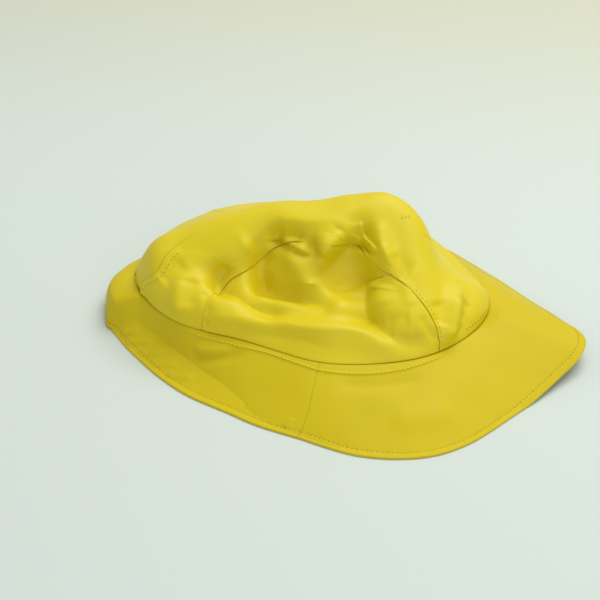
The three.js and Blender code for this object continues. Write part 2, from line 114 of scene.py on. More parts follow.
# Centre seam of the crown: along, across. In front it runs on the near side of the ridge.
CENTRE_SEAM = np.array([
    (0.000, 0.220), (0.110, 0.235), (0.165, 0.290), (0.200, 0.400), (0.240, 0.475),
    (0.300, 0.525), (0.450, 0.540), (0.730, 0.540), (0.850, 0.510), (1.000, 0.500),
])

# How openly the seams of the crown show, from 0 to 1: along, openness. The same openness sets how dark each
# seam's painted shade line is; the base seam's table sets only the painted shade on the crown's base.
CENTRE_SEAM_SHOWS = np.array([(0.0, 1.0), (0.22, 1.0), (0.29, 0.0), (1.0, 0.0)])
ARCH_SEAM_SHOWS = np.array([
    (0.300, 0.3), (0.330, 0.3), (0.350, 1.0), (0.500, 1.0), (0.515, 0.0),
    (0.572, 0.0), (0.585, 1.0), (0.710, 1.0), (0.725, 0.2), (0.750, 0.8),
    (0.800, 0.8),
])
BASE_SEAM_SHOWS = np.array([(0.0, 0.8), (0.90, 0.8), (0.955, 0.0), (1.0, 0.0)])

# Ledge of the brim beside the crown: turn, width in millimetres
LEDGE_WIDTHS = np.array([
    (0.120, 3.0), (0.160, 3.2), (0.190, 4.2), (0.225, 3.0), (0.255, 4.0), (0.270, 5.2),
    (0.303, 6.3), (0.330, 7.0), (0.358, 6.2), (0.376, 4.8), (0.410, 3.2),
])

# Three bar tacks beside the ridge's right end: along, across
BAR_TACKS = np.array([(0.712, 0.516), (0.717, 0.521), (0.725, 0.527), (0.733, 0.535), (0.738, 0.540)])


def smoothstep(low: float, high: float, value: Array) -> Array:
    """Soft step from 0 at low to 1 at high.

    Formula: 3x^2 - 2x^3 of the clamped share x of the way from low to high.

    Args:
        low: where the step starts.
        high: where it ends.
        value: the values to read it at.

    Returns:
        The step at each value.
    """
    share = np.clip((value - low) / (high - low), 0.0, 1.0)
    return share * share * (3 - 2 * share)


def bell(value: Array, width: float) -> Array:
    """Bell of height 1. Formula: e to the power of minus the square of value over width."""
    return np.exp(-((value / width) ** 2))


def unit(vectors: Array) -> Array:
    """Vectors scaled to length one."""
    return vectors / np.maximum(np.linalg.norm(vectors, axis=-1, keepdims=True), 1e-12)


def smooth_table(rows: Array, place: Array, period: float = 0.0) -> Array:
    """Smooth value of every column of a table at the given places.

    Formula: a cubic between two rows, whose slope at a row is that of the parabola through the row and
    its two neighbours.

    Args:
        rows: the table, with the place of each row in its first column.
        place: the places to read, of any shape.
        period: the length after which the table repeats, or 0.

    Returns:
        The other columns at each place, along a new last axis.
    """
    table = rows
    if period:
        before, after = rows[-2:].copy(), rows[:2].copy()
        before[:, 0] -= period
        after[:, 0] += period
        table = np.concatenate([before, rows, after])
        place = np.mod(place, period)
    knots, values = table[:, 0], table[:, 1:]
    width = np.diff(knots)[:, None]
    chord = np.diff(values, axis=0) / width
    slope = np.empty_like(values)
    slope[1:-1] = (chord[:-1] * width[1:] + chord[1:] * width[:-1]) / (width[1:] + width[:-1])
    slope[0], slope[-1] = chord[0], chord[-1]
    i = np.clip(np.searchsorted(knots, place, side="right") - 1, 0, len(knots) - 2)
    x = ((place - knots[i]) / width[i, 0])[..., None]
    return (
        (2 * x**3 - 3 * x**2 + 1) * values[i]
        + (x**3 - 2 * x**2 + x) * width[i] * slope[i]
        + (3 * x**2 - 2 * x**3) * values[i + 1]
        + (x**3 - x**2) * width[i] * slope[i + 1]
    )


def surface_normals(surface: Surface, first: Array, second: Array, step: float) -> Array:
    """Unit normals of a surface.

    Formula: the cross product of central differences along its two parameters. A long step gives the
    normals of the surface's broad form.

    Args:
        surface: gives a point for two arrays of places.
        first: the first parameter of each place.
        second: the second parameter.
        step: how far to look each way.

    Returns:
        Unit normals of shape (..., 3).
    """
    along = surface(first + step, second) - surface(first - step, second)
    across = surface(first, second + step) - surface(first, second - step)
    return unit(np.cross(along, across))


def grid_normals(points: Array) -> Array:
    """Unit normals of a grid, from the cross product of its steps along columns and rows."""
    return unit(np.cross(np.gradient(points, axis=0), np.gradient(points, axis=1)))


def row_lengths(points: Array) -> Array:
    """Distance of each grid point from its column's first point, summed along the column."""
    steps = np.linalg.norm(np.diff(points, axis=1), axis=-1)
    return np.concatenate([np.zeros((len(points), 1)), np.cumsum(steps, axis=1)], axis=1)


def running_length(points: Array) -> Array:
    """Distance of each point of a line from its first point, summed along the line."""
    return np.concatenate([[0.0], np.cumsum(np.linalg.norm(np.diff(points, axis=0), axis=-1))])


def read_table(table: Array, place: Array) -> Array:
    """Second column of a table at places of its first, by straight interpolation."""
    return np.interp(place, table[:, 0], table[:, 1])


def lengths_at(place: float, sample: Array, lengths: Array) -> Array:
    """Running length of each column at one place, by straight interpolation between its samples."""
    return np.stack([np.interp(place, sample, column) for column in lengths])[:, None]


def beside_stroke(points: Array, start: Array, end: Array) -> tuple[Array, Array]:
    """Where each point lies beside a straight stroke.

    Formula: the point's shadow on the stroke, held between the stroke's ends.

    Args:
        points: the points.
        start: where the stroke starts.
        end: where it ends.

    Returns:
        The share of the stroke that is nearest, and the offset from there to the point.
    """
    way = end - start
    share = np.clip(((points - start) @ way) / (way @ way), 0.0, 1.0)
    return share, points - start - share[..., None] * way


def shares_at(lengths: Array, wanted: Array) -> Array:
    """Where along each column the running length reaches the wanted values.

    Formula: straight interpolation between the two samples on either side.

    Args:
        lengths: running lengths of evenly spaced samples, of shape (columns, samples).
        wanted: wanted lengths, of shape (columns, rows).

    Returns:
        Shares of the way from the first to the last sample, of wanted's shape.
    """
    last = lengths.shape[1] - 1
    i = np.clip((lengths[:, None, :] <= wanted[:, :, None]).sum(axis=-1) - 1, 0, last - 1)
    low = np.take_along_axis(lengths, i, axis=1)
    high = np.take_along_axis(lengths, i + 1, axis=1)
    return (i + (wanted - low) / np.maximum(high - low, 1e-9)) / last


class Profile(Enum):
    """How the cloth rises across a fold."""

    ROUND = "a round ridge or valley"
    SHARP = "a ridge or valley creased along its middle"
    STEP = "a tuck, high on the left of its path and low on the right"


@dataclass(frozen=True)
class Fold:
    """A fold of the cloth along a path of places, which fades out at both ends.

    The places are along and across on the crown, and turn and out on the brim. Width and rise are in
    millimetres, and a valley's rise is below zero.
    """

    path: tuple[tuple[float, float], ...]
    width: float
    rise: float
    profile: Profile = Profile.ROUND
    step_width: float = 0.8
    pieces: int = 16
    fading: float = 0.25
    crease: float = 0.3

    def line(self, surface: Surface) -> Array:
        """Points of the path on a surface, at equal shares of the path.

        Args:
            surface: gives a point for two arrays of places.

        Returns:
            Points of shape (pieces + 1, 3).
        """
        places = np.array(self.path)
        knots = np.linspace(0, 1, len(places))
        share = np.linspace(0, 1, self.pieces + 1)
        return surface(np.interp(share, knots, places[:, 0]), np.interp(share, knots, places[:, 1]))

    def lift(self, points: Array, normals: Array, surface: Surface) -> Array:
        """How far the fold lifts the cloth at each point.

        Formula: a bell, a pointed bell or a steep step over the distance from the path, times a share that
        fades over the first and the last quarter of the path.

        Args:
            points: points of the smooth surface.
            normals: the surface's normals there.
            surface: the smooth surface that the path lies on.

        Returns:
            Millimetres along the normal.
        """
        line = self.line(surface)
        nearest = np.full(points.shape[:-1], np.inf)
        share = np.zeros_like(nearest)
        side = np.zeros_like(nearest)
        for k, (start, end) in enumerate(zip(line[:-1], line[1:])):
            part, offset = beside_stroke(points, start, end)
            distance = np.linalg.norm(offset, axis=-1)
            closer = distance < nearest
            nearest = np.where(closer, distance, nearest)
            share = np.where(closer, (k + part) / self.pieces, share)
            side = np.where(closer, (np.cross(normals, end - start) * offset).sum(axis=-1), side)
        fade = smoothstep(0.0, self.fading, share) * smoothstep(0.0, self.fading, 1 - share)
        if self.profile is Profile.STEP:
            step = np.tanh(np.sign(side) * nearest / self.step_width)
            return self.rise / 2 * fade * step * bell(nearest, self.width)
        if self.profile is Profile.SHARP:
            return self.rise * fade * np.exp(self.crease - np.hypot(nearest / self.width, self.crease))
        return self.rise * fade * bell(nearest, self.width)


# Large folds and dents of the crown, which the solids have too, each a stroke between two places.
# from along, from across, to along, to across, width and rise in fold widths and rises
LARGE_FOLDS = np.array([
    (0.495, 0.374, 0.535, 0.280, 0.9, 1.1),
    (0.535, 0.280, 0.585, 0.165, 0.8, 0.7),
    (0.435, 0.350, 0.430, 0.255, 0.8, -0.8),
    (0.450, 0.275, 0.556, 0.178, 0.6, -0.6),
    (0.460, 0.385, 0.525, 0.392, 0.7, -0.6),
    (0.550, 0.405, 0.575, 0.375, 0.6, 0.4),
    (0.327, 0.300, 0.345, 0.220, 0.9, -0.9),
    (0.348, 0.215, 0.456, 0.108, 0.6, -0.5),
    (0.456, 0.108, 0.639, 0.142, 0.6, -0.4),
    (0.639, 0.142, 0.731, 0.047, 0.7, -0.8),
    (0.343, 0.052, 0.670, 0.056, 0.9, 0.6),
    (0.628, 0.470, 0.620, 0.395, 0.8, -0.9),
    (0.668, 0.457, 0.695, 0.363, 0.6, 0.6),
    (0.246, 0.235, 0.242, 0.075, 0.7, 0.6),
    (0.294, 0.285, 0.384, 0.440, 0.9, 0.5),
    (0.842, 0.300, 0.812, 0.040, 0.7, 0.8),
    (0.868, 0.300, 0.845, 0.080, 0.6, -0.5),
])

# Further folds of the crown, which only this scene has. Some are as deep as the large ones.
CROWN_FOLDS = (
    # the dart that runs down from the ridge, and the thin ridge on its right
    Fold(((0.636, 0.480), (0.640, 0.440), (0.641, 0.400), (0.640, 0.370)), 6.0, -5.0),
    Fold(((0.634, 0.490), (0.645, 0.462), (0.650, 0.439), (0.659, 0.422), (0.668, 0.400)), 6.0, -3.6,
         Profile.STEP),
    Fold(((0.662, 0.460), (0.673, 0.423), (0.684, 0.394), (0.697, 0.350)), 3.0, 1.8, Profile.SHARP),
    Fold(((0.690, 0.410), (0.710, 0.380), (0.732, 0.346)), 6.0, -1.2),
    # the tongue that hangs over the seam
    Fold(((0.596, 0.445), (0.580, 0.412), (0.564, 0.392), (0.546, 0.370)), 5.0, 2.8),
    Fold(((0.520, 0.415), (0.530, 0.385), (0.536, 0.362)), 3.5, -1.6),
    # the tuck over the bump, and the crisp rim above it
    Fold(((0.430, 0.392), (0.450, 0.398), (0.465, 0.396), (0.480, 0.388), (0.494, 0.382), (0.508, 0.378),
          (0.523, 0.371), (0.536, 0.360)), 5.0, 4.2, Profile.STEP),
    Fold(((0.440, 0.400), (0.465, 0.408), (0.492, 0.412), (0.520, 0.400)), 5.0, -3.6),
    Fold(((0.375, 0.400), (0.425, 0.435), (0.489, 0.455), (0.545, 0.470), (0.600, 0.495)), 6.0, 1.6,
         Profile.SHARP),
    # the bump, with a valley round its left side and the deep hollow on its right
    Fold(((0.455, 0.380), (0.430, 0.357), (0.422, 0.334), (0.430, 0.299), (0.452, 0.281)), 5.5, -3.0),
    Fold(((0.424, 0.320), (0.440, 0.288), (0.470, 0.266), (0.517, 0.219), (0.560, 0.180)), 3.0, -1.8,
         Profile.SHARP),
    Fold(((0.478, 0.371), (0.491, 0.350), (0.508, 0.310), (0.525, 0.255), (0.560, 0.190)), 6.0, 1.2),
    Fold(((0.565, 0.385), (0.600, 0.355), (0.625, 0.330), (0.631, 0.263)), 13.0, -6.0),
    # the wall on the right of the hollow, and the valley that runs on to the crown's base
    Fold(((0.652, 0.310), (0.644, 0.280), (0.642, 0.235), (0.640, 0.187), (0.647, 0.151), (0.667, 0.094),
          (0.695, 0.069), (0.735, 0.020)), 4.5, -2.8, Profile.SHARP),
    Fold(((0.675, 0.300), (0.668, 0.240), (0.672, 0.180)), 7.0, 1.4),
    Fold(((0.676, 0.135), (0.702, 0.150), (0.728, 0.156)), 4.5, -1.0),
    Fold(((0.686, 0.090), (0.711, 0.092), (0.738, 0.080)), 4.5, 0.8),
    # the strip along the seam's back leg
    Fold(((0.712, 0.330), (0.722, 0.270), (0.726, 0.200)), 4.0, 0.7),
    Fold(((0.744, 0.180), (0.765, 0.115), (0.788, 0.040)), 3.0, -0.8),
    Fold(((0.782, 0.270), (0.795, 0.196), (0.788, 0.120)), 6.0, -1.2),
    Fold(((0.838, 0.290), (0.826, 0.165), (0.809, 0.030)), 3.5, 1.2, Profile.SHARP),
    Fold(((0.862, 0.290), (0.864, 0.200), (0.852, 0.100)), 5.5, -0.9),
    # the dimple in front, the valley that runs from it to the floor, and the lip below
    Fold(((0.356, 0.385), (0.346, 0.320), (0.330, 0.250), (0.315, 0.205)), 4.5, -2.6),
    Fold(((0.318, 0.225), (0.352, 0.245), (0.380, 0.215), (0.402, 0.140), (0.430, 0.105), (0.470, 0.105)),
         3.2, -2.2, Profile.SHARP),
    Fold(((0.372, 0.300), (0.407, 0.254), (0.455, 0.160)), 6.0, 1.4),
    Fold(((0.330, 0.085), (0.408, 0.066), (0.491, 0.082), (0.568, 0.092), (0.651, 0.088), (0.706, 0.050)),
         4.0, 1.2),
    Fold(((0.375, 0.022), (0.452, 0.036), (0.509, 0.050), (0.570, 0.040)), 2.6, -0.9),
    # soft folds of the front
    Fold(((0.252, 0.245), (0.241, 0.150), (0.243, 0.040)), 5.0, 0.9, Profile.SHARP),
    Fold(((0.275, 0.255), (0.268, 0.180), (0.266, 0.090)), 6.0, -0.9),
    Fold(((0.180, 0.210), (0.215, 0.285), (0.256, 0.364)), 7.0, -1.0),
    Fold(((0.305, 0.200), (0.311, 0.150), (0.315, 0.060)), 3.5, -0.8),
    # the rim's dark underside left of the tongue, and the dart's left wall
    Fold(((0.400, 0.395), (0.440, 0.405), (0.480, 0.415)), 7.0, -2.5),
    Fold(((0.560, 0.440), (0.590, 0.420), (0.610, 0.395), (0.625, 0.365)), 5.0, -2.5),
    # the far back, which lies low behind the ridge
    Fold(((0.745, 0.640), (0.800, 0.690), (0.860, 0.730), (0.960, 0.760)), 20.0, -3.0),
    # small nicks
    Fold(((0.755, 0.503), (0.770, 0.523), (0.785, 0.543)), 0.9, -0.5),
    Fold(((0.830, 0.410), (0.860, 0.445), (0.895, 0.480)), 1.1, -0.5),
    Fold(((0.306, 0.030), (0.312, 0.042), (0.318, 0.054)), 1.8, -1.2),
)

# Folds of the brim: the creased ridge out to the tip, and short soft wrinkles
BRIM_FOLDS = (
    Fold(((0.474, -0.20), (0.481, 0.216), (0.487, 0.511), (0.491, 0.719), (0.494, 1.15)), 13.0, 2.0,
         Profile.SHARP),
    Fold(((0.053, 0.90), (0.060, 0.75), (0.070, 0.60)), 2.4, 0.8),
    Fold(((0.064, 0.95), (0.077, 0.75), (0.092, 0.60)), 2.4, 0.9),
    Fold(((0.084, 0.92), (0.098, 0.76), (0.112, 0.60)), 2.6, 0.9),
    Fold(((0.102, 0.92), (0.116, 0.78), (0.132, 0.64)), 2.6, 0.7),
    Fold(((0.122, 0.92), (0.138, 0.78), (0.156, 0.66)), 2.8, 0.6),
    Fold(((0.140, 0.46), (0.158, 0.36), (0.176, 0.24), (0.205, 0.06)), 3.4, -1.3),
    Fold(((0.142, 0.30), (0.162, 0.22), (0.186, 0.12)), 3.0, 0.9),
    Fold(((0.248, 0.72), (0.251, 0.62), (0.254, 0.52)), 1.6, 0.5),
    Fold(((0.285, 0.20), (0.330, 0.26), (0.385, 0.22)), 5.0, -0.8),
    Fold(((0.335, 0.60), (0.365, 0.62), (0.395, 0.60)), 9.0, 0.9),
)


class Edge(Enum):
    """How one edge of a panel is sewn."""

    BASE = "turned in at the seam between crown and brim"
    OVER = "folded, on top of its neighbour, with a row of stitches inside it"
    UNDER = "running on under its neighbour"
    HEM = "the brim's doubled outer edge"
    LEDGE = "running on under the crown, with a ledge beside it"


# Millimetres from an edge to its stitches, and from each kind of edge to the grid's rows beside it
STITCH_LINE = 5.0
EDGE_ROWS: dict[Edge, tuple[float, ...]] = {
    Edge.BASE: (0.0, 0.12, 0.35, 0.7, 1.2, 2.0, 3.4),
    Edge.OVER: (0.0, 0.10, 0.28, 0.55, 1.2, 2.4, 3.8, 4.5, 4.8, STITCH_LINE, 5.2, 5.5, 6.2, 7.4),
    Edge.UNDER: (-2.4, -2.2, -1.2, -0.3, 0.2, 0.8, 1.6, 3.0),
    Edge.HEM: (0.0, 0.15, 0.5, 1.0, 1.8, 3.0, 4.0, 4.5, 4.8, STITCH_LINE, 5.2, 5.5, 6.2),
    Edge.LEDGE: (-1.4, -1.2, -0.6, 0.1, 0.6, 1.2, 2.2, 3.4, 4.2, 4.6, 4.8, STITCH_LINE, 5.2, 5.4, 5.8, 6.8),
}


def edge_row(edge: Edge, distance: float) -> int:
    """Number of an edge's row at a distance, counted from the edge."""
    return EDGE_ROWS[edge].index(distance)


@dataclass(frozen=True)
class Undulation:
    """Soft unevenness of cloth: a sum of plane waves with fixed random directions."""

    waves: int = 9
    shortest: float = 16.0
    longest: float = 60.0
    rise: float = 0.30
    seed: int = 11

    def height(self, points: Array) -> Array:
        """Lift at each point.

        Formula: the sum of sines of the place along each wave, where longer waves are higher.

        Args:
            points: points of the surface.

        Returns:
            Millimetres along the normal.
        """
        random = np.random.default_rng(self.seed)
        direction = unit(random.normal(size=(self.waves, 3)))
        length = np.geomspace(self.shortest, self.longest, self.waves)
        phase = random.uniform(0, 2 * math.pi, self.waves)
        turns = (points @ direction.T) / length * 2 * math.pi + phase
        return self.rise * (np.sin(turns) * length / self.longest).sum(axis=-1) / math.sqrt(self.waves / 2)


@dataclass(frozen=True)
class Pucker:
    """Small waves that a row of stitches pulls into the cloth."""

    length: float = 7.3
    drift: float = 31.0
    rise: float = 0.11
    reach: float = 2.6
    swing: float = 1.9

    def height(self, run: Array, distance: Array) -> Array:
        """Lift near a row of stitches.

        Formula: a sine of the run with a drifting phase, times a bell over the distance from the row.

        Args:
            run: millimetres along the row.
            distance: millimetres from the row.

        Returns:
            Millimetres along the normal.
        """
        phase = 2 * math.pi * run / self.length + self.swing * np.sin(2 * math.pi * run / self.drift)
        return self.rise * np.sin(phase) * bell(distance, self.reach)


@dataclass(frozen=True)
class HatForm:
    """The shape that all panels share, in millimetres, with its origin under the head."""

    head_length: float = 228.0
    head_width: float = 148.0
    seam_height: float = 24.0
    crown_height: float = 70.0
    brim_reach: float = 60.0
    fold_width: float = 10.0
    fold_rise: float = 5.0
    origin: Triple = (-5.290, -21.424, 0.0)
    fine_rise: float = 1.35
    broad_step: float = 0.045
    crown_fade: float = 12.0
    brim_step: float = 0.02
    brim_margin: float = 0.05
    brim_fade: float = 8.0
    hem_fade_end: float = 1.12
    undulation: Undulation = field(default_factory=Undulation)

    def seam(self, turn: Array) -> Array:
        """Place of the seam between crown and brim at each turn round the hat."""
        row = smooth_table(BRIM_STATIONS, turn, 1.0)
        return row[..., 0:3] * np.array([self.head_width / 2, self.head_length / 2, self.seam_height])

    def brim(self, turn: Array, out: Array) -> Array:
        """Point of the smooth brim.

        Formula: two straight stretches through the knee, mixed by the station's softness with a parabola
        through the same knee.

        Args:
            turn: turn round the hat.
            out: 0 at the seam, half at the knee and 1 at the hem.

        Returns:
            Points of shape (..., 3).
        """
        row = smooth_table(BRIM_STATIONS, turn, 1.0)
        seam = self.seam(turn)
        hem = row[..., 3:6] * np.array([self.brim_reach, self.brim_reach, self.seam_height])
        hem[..., :2] += seam[..., :2]
        softness = np.clip(row[..., 8:9], 0.0, 1.0)
        knee = seam + (hem - seam) * row[..., 6:7]
        knee[..., 2:3] = hem[..., 2:3] + (seam[..., 2:3] - hem[..., 2:3]) * row[..., 7:8]
        x = out[..., None]
        straight = np.where(x < 0.5, seam + (knee - seam) * 2 * x, knee + (hem - knee) * (2 * x - 1))
        pull = 2 * knee - (seam + hem) / 2
        curved = (1 - x) ** 2 * seam + 2 * x * (1 - x) * pull + x**2 * hem
        return straight * (1 - softness) + curved * softness

    def brim_cloth(self, turn: Array, out: Array) -> Array:
        """Point of the brim with its folds and unevenness, lifted along the smooth brim's normal.

        Args:
            turn: turn round the hat.
            out: 0 at the seam and 1 at the hem.

        Returns:
            Points of shape (..., 3).
        """
        points = self.brim(turn, out)
        inner = np.clip(out, self.brim_margin, 1 - self.brim_margin)
        normals = -surface_normals(self.brim, turn, inner, self.brim_step)
        lift = self.undulation.height(points)
        for fold in BRIM_FOLDS:
            lift = lift + self.fine_rise * fold.lift(points, normals, self.brim)
        lift = lift * np.clip(np.minimum(out, self.hem_fade_end - out) * self.brim_fade, 0.0, 1.0)
        return points + normals * lift[..., None]

    def crown_base(self, along: Array, across: Array) -> Array:
        """Point of the smooth crown.

        Formula: a Catmull-Rom curve through the near seam, six points of the section and the far seam.

        Args:
            along: from the front end (0) to the back end (1).
            across: from the near seam (0) to the far seam (1).

        Returns:
            Points of shape (..., 3).
        """
        along = np.clip(along, 0.0, 1.0)
        near, far = self.seam(along / 2), self.seam(1 - along / 2)
        row = smooth_table(CROWN_SECTIONS, along)
        inner = [
            near + (far - near) * row[..., k:k + 1] + UP * row[..., k + 1:k + 2] * self.crown_height
            for k in range(0, row.shape[-1], 2)
        ]
        spans = len(inner) + 1
        chain = np.stack([2 * near - inner[0], near, *inner, far, 2 * far - inner[-1]], axis=-2)
        place = np.clip(across, 0.0, 1.0) * spans
        i = np.clip(np.floor(place).astype(int), 0, spans - 1)
        x = (place - i)[..., None]
        picked = (i[..., None] + np.arange(4))[..., None]
        a, b, c, d = np.moveaxis(np.take_along_axis(chain, picked, axis=-2), -2, 0)
        square = 2 * a - 5 * b + 4 * c - d
        return 0.5 * (2 * b + (c - a) * x + square * x**2 + (3 * b - a - 3 * c + d) * x**3)

    def crown(self, along: Array, across: Array) -> Array:
        """Point of the crown with its folds.

        Formula: the smooth point plus the normal of the broad form times the sum of the folds' lifts,
        which fades out at the seam with the brim.

        Args:
            along: from the front end (0) to the back end (1).
            across: from the near seam (0) to the far seam (1).

        Returns:
            Points of shape (..., 3).
        """
        points = self.crown_base(along, across)
        inner, edge = self.broad_step, 1 - self.broad_step
        normals = surface_normals(
            self.crown_base, np.clip(along, inner, edge), np.clip(across, inner, edge), self.broad_step)
        lift = self.undulation.height(points)
        for from_along, from_across, to_along, to_across, width, rise in LARGE_FOLDS:
            ends = self.crown_base(np.array([from_along, to_along]), np.array([from_across, to_across]))
            offset = beside_stroke(points, ends[0], ends[1])[1]
            distance = np.linalg.norm(offset, axis=-1)
            lift = lift + rise * self.fold_rise * bell(distance, width * self.fold_width)
        for fold in CROWN_FOLDS:
            lift = lift + self.fine_rise * fold.lift(points, normals, self.crown_base)
        lift = lift * np.clip(np.minimum(across, 1 - across) * self.crown_fade, 0.0, 1.0)
        return points + normals * lift[..., None]


@dataclass(frozen=True)
class SidePanelArch:
    """The rounded arch that bounds a side panel of the crown."""

    span: float = 0.49
    height: float = 0.4
    centre: float = 0.545
    fullness: float = 0.85
    reach: float = 0.17

    def line(self, share: Array) -> tuple[Array, Array]:
        """Along and across at a share of the arch. Formula: half a turn of cosine along, sine across."""
        across = self.height * np.maximum(0.0, np.sin(np.pi * share)) ** self.fullness
        return self.centre - self.span / 2 * np.cos(np.pi * share), across

    def foot(self, share: Array) -> tuple[Array, Array]:
        """The stretch of crown seam under the arch, in step with the arch."""
        along, across = self.line(share)
        return along, np.zeros_like(across)

    def sill(self, share: Array) -> tuple[Array, Array]:
        """The upper panel's lower edge: crown seam, arch and crown seam again.

        Args:
            share: share of the edge, of which reach goes to either stretch of crown seam.

        Returns:
            Along and across.
        """
        along, across = self.line(np.clip((share - self.reach) / (1 - 2 * self.reach), 0.0, 1.0))
        front, back = self.centre - self.span / 2, 1 - self.centre - self.span / 2
        before, after = share < self.reach, share > 1 - self.reach
        along = np.where(before, front * share / self.reach, along)
        along = np.where(after, 1 - back * (1 - share) / self.reach, along)
        return along, np.where(before | after, 0.0, across)


def centre_seam(share: Array) -> tuple[Array, Array]:
    """Along and across of the centre seam at a share of its length."""
    return share, smooth_table(CENTRE_SEAM, share)[..., 0]


def mirrored(line: Line) -> Line:
    """The same line on the far half of the crown, counted from the far seam.

    Args:
        line: a line on the near half.

    Returns:
        A line that gives the same along, and across from the other side.
    """
    def far_line(share: Array) -> tuple[Array, Array]:
        """Along and across of the mirrored line."""
        along, across = line(share)
        return along, 1 - across
    return far_line


@dataclass
class ClothGrid:
    """A grid of points on one panel, of shape (columns, rows).

    Besides the points and normals it keeps the distance of each from the panel's first and last seam, and
    the form's own two parameters.
    """

    points: Array
    normals: Array
    from_first: Array
    from_last: Array
    one: Array
    two: Array

    def run(self, row: int) -> Array:
        """Millimetres along a row, as a column that spreads over all rows."""
        return running_length(self.points[:, row])[:, None]


@dataclass
class Shell:
    """A closed sheet of cloth over a grid: an outer and an inner face that meet in a rounded rim."""

    grid: ClothGrid
    half: float
    rise: Array
    outer_extra: Array
    # painted seam shade from 0 to 1, which becomes the "seam" attribute
    mask: Array

    def rim(self) -> Array:
        """Share of the full thickness at each point.

        Formula: a quarter circle over the distance from the sheet's edge.

        Returns:
            Shares from 0 to 1, of shape (columns, rows).
        """
        length = row_lengths(self.grid.points)
        share = np.clip(np.minimum(length, length[:, -1:] - length) / self.half, 0.0, 1.0)
        rounded = np.sqrt(1 - (1 - share) ** 2)
        rounded[[0, -1]] = 0.0
        return rounded

    def outside(self) -> Array:
        """The outer face. Formula: grid point plus normal times rise and rounded half thickness."""
        lift = self.rise + (self.half + self.outer_extra) * self.rim()
        return self.grid.points + self.grid.normals * lift[..., None]

    def inside(self) -> Array:
        """The inner face, half the thickness below the middle of the cloth."""
        lift = self.rise - self.half * self.rim()
        return self.grid.points + self.grid.normals * lift[..., None]


def add_object(name: str, data: bpy.types.ID) -> bpy.types.Object:
    """Makes an object for a mesh, light or camera.

    Args:
        name: the object's name.
        data: what it shows.

    Returns:
        The new object, in the scene.
    """
    made = bpy.data.objects.new(name, data)
    bpy.context.scene.collection.objects.link(made)
    return made


def place_mesh(name: str, points: Array, faces: list[list[int]], mask: Array) -> bpy.types.Object:
    """Makes a smooth-shaded mesh object at the origin.

    Args:
        name: the piece's name.
        points: points in millimetres, in the frame's coordinates.
        faces: corner numbers of each face.
        mask: the value of the "seam" attribute at each point.

    Returns:
        The new object, in the scene.
    """
    mesh = bpy.data.meshes.new(name)
    mesh.from_pydata((points * METRES).tolist(), [], faces)
    mesh.polygons.foreach_set("use_smooth", np.ones(len(mesh.polygons), bool))
    mesh.attributes.new("seam", "FLOAT", "POINT").data.foreach_set("value", mask.astype(np.float32))
    return add_object(name, mesh)


def shell_object(name: str, shell: Shell, origin: Array, on_floor: bool) -> bpy.types.Object:
    """Makes the closed mesh of a shell, with a UV map in metres of cloth.

    Args:
        name: the piece's name.
        shell: the sheet of cloth.
        origin: what is added to the form's coordinates to reach the frame's, in millimetres.
        on_floor: whether the sheet lies on the floor, so that nothing of it goes below.

    Returns:
        The new object.
    """
    outer, inner = shell.outside(), shell.inside()
    columns, rows = outer.shape[:2]
    edge = np.ones((columns, rows), bool)
    edge[1:-1, 1:-1] = False
    top = np.arange(columns * rows).reshape(columns, rows)
    below = np.where(edge, top, columns * rows + np.cumsum(~edge).reshape(columns, rows) - 1)
    points = np.concatenate([outer.reshape(-1, 3), inner[~edge]]) + origin
    if on_floor:
        points[:, 2] = np.maximum(points[:, 2], 0.0)

    def quads(index: Array) -> Array:
        """Corner numbers of every cell, anticlockwise seen from outside."""
        corners = [index[:-1, :-1], index[1:, :-1], index[1:, 1:], index[:-1, 1:]]
        return np.stack(corners, axis=-1).reshape(-1, 4)

    faces = np.concatenate([quads(top), quads(below)[:, ::-1]])
    mask = np.concatenate([shell.mask.ravel(), shell.mask[~edge]])
    made = place_mesh(name, points, faces.tolist(), mask)
    run = shell.grid.run(rows // 2)
    flat = np.stack(np.broadcast_arrays(run, row_lengths(shell.grid.points)), axis=-1) * METRES
    places = np.concatenate([flat.reshape(-1, 2), flat[~edge]])
    loops = np.zeros(len(made.data.loops), np.int32)
    made.data.loops.foreach_get("vertex_index", loops)
    cloth = made.data.uv_layers.new(name="cloth")
    cloth.data.foreach_set("uv", places[loops].astype(np.float32).ravel())
    return made


class Thread(Enum):
    """The two threads that the hat is sewn with. The darker one's colour is painted shade, standing for the
    shade on shadowed stitches.
    """

    # painted shade: this thread is darkened to stand for the shade on its stitches
    DARK = "as dark as the holes it goes through"
    BRIGHT = "as bright as the cloth"


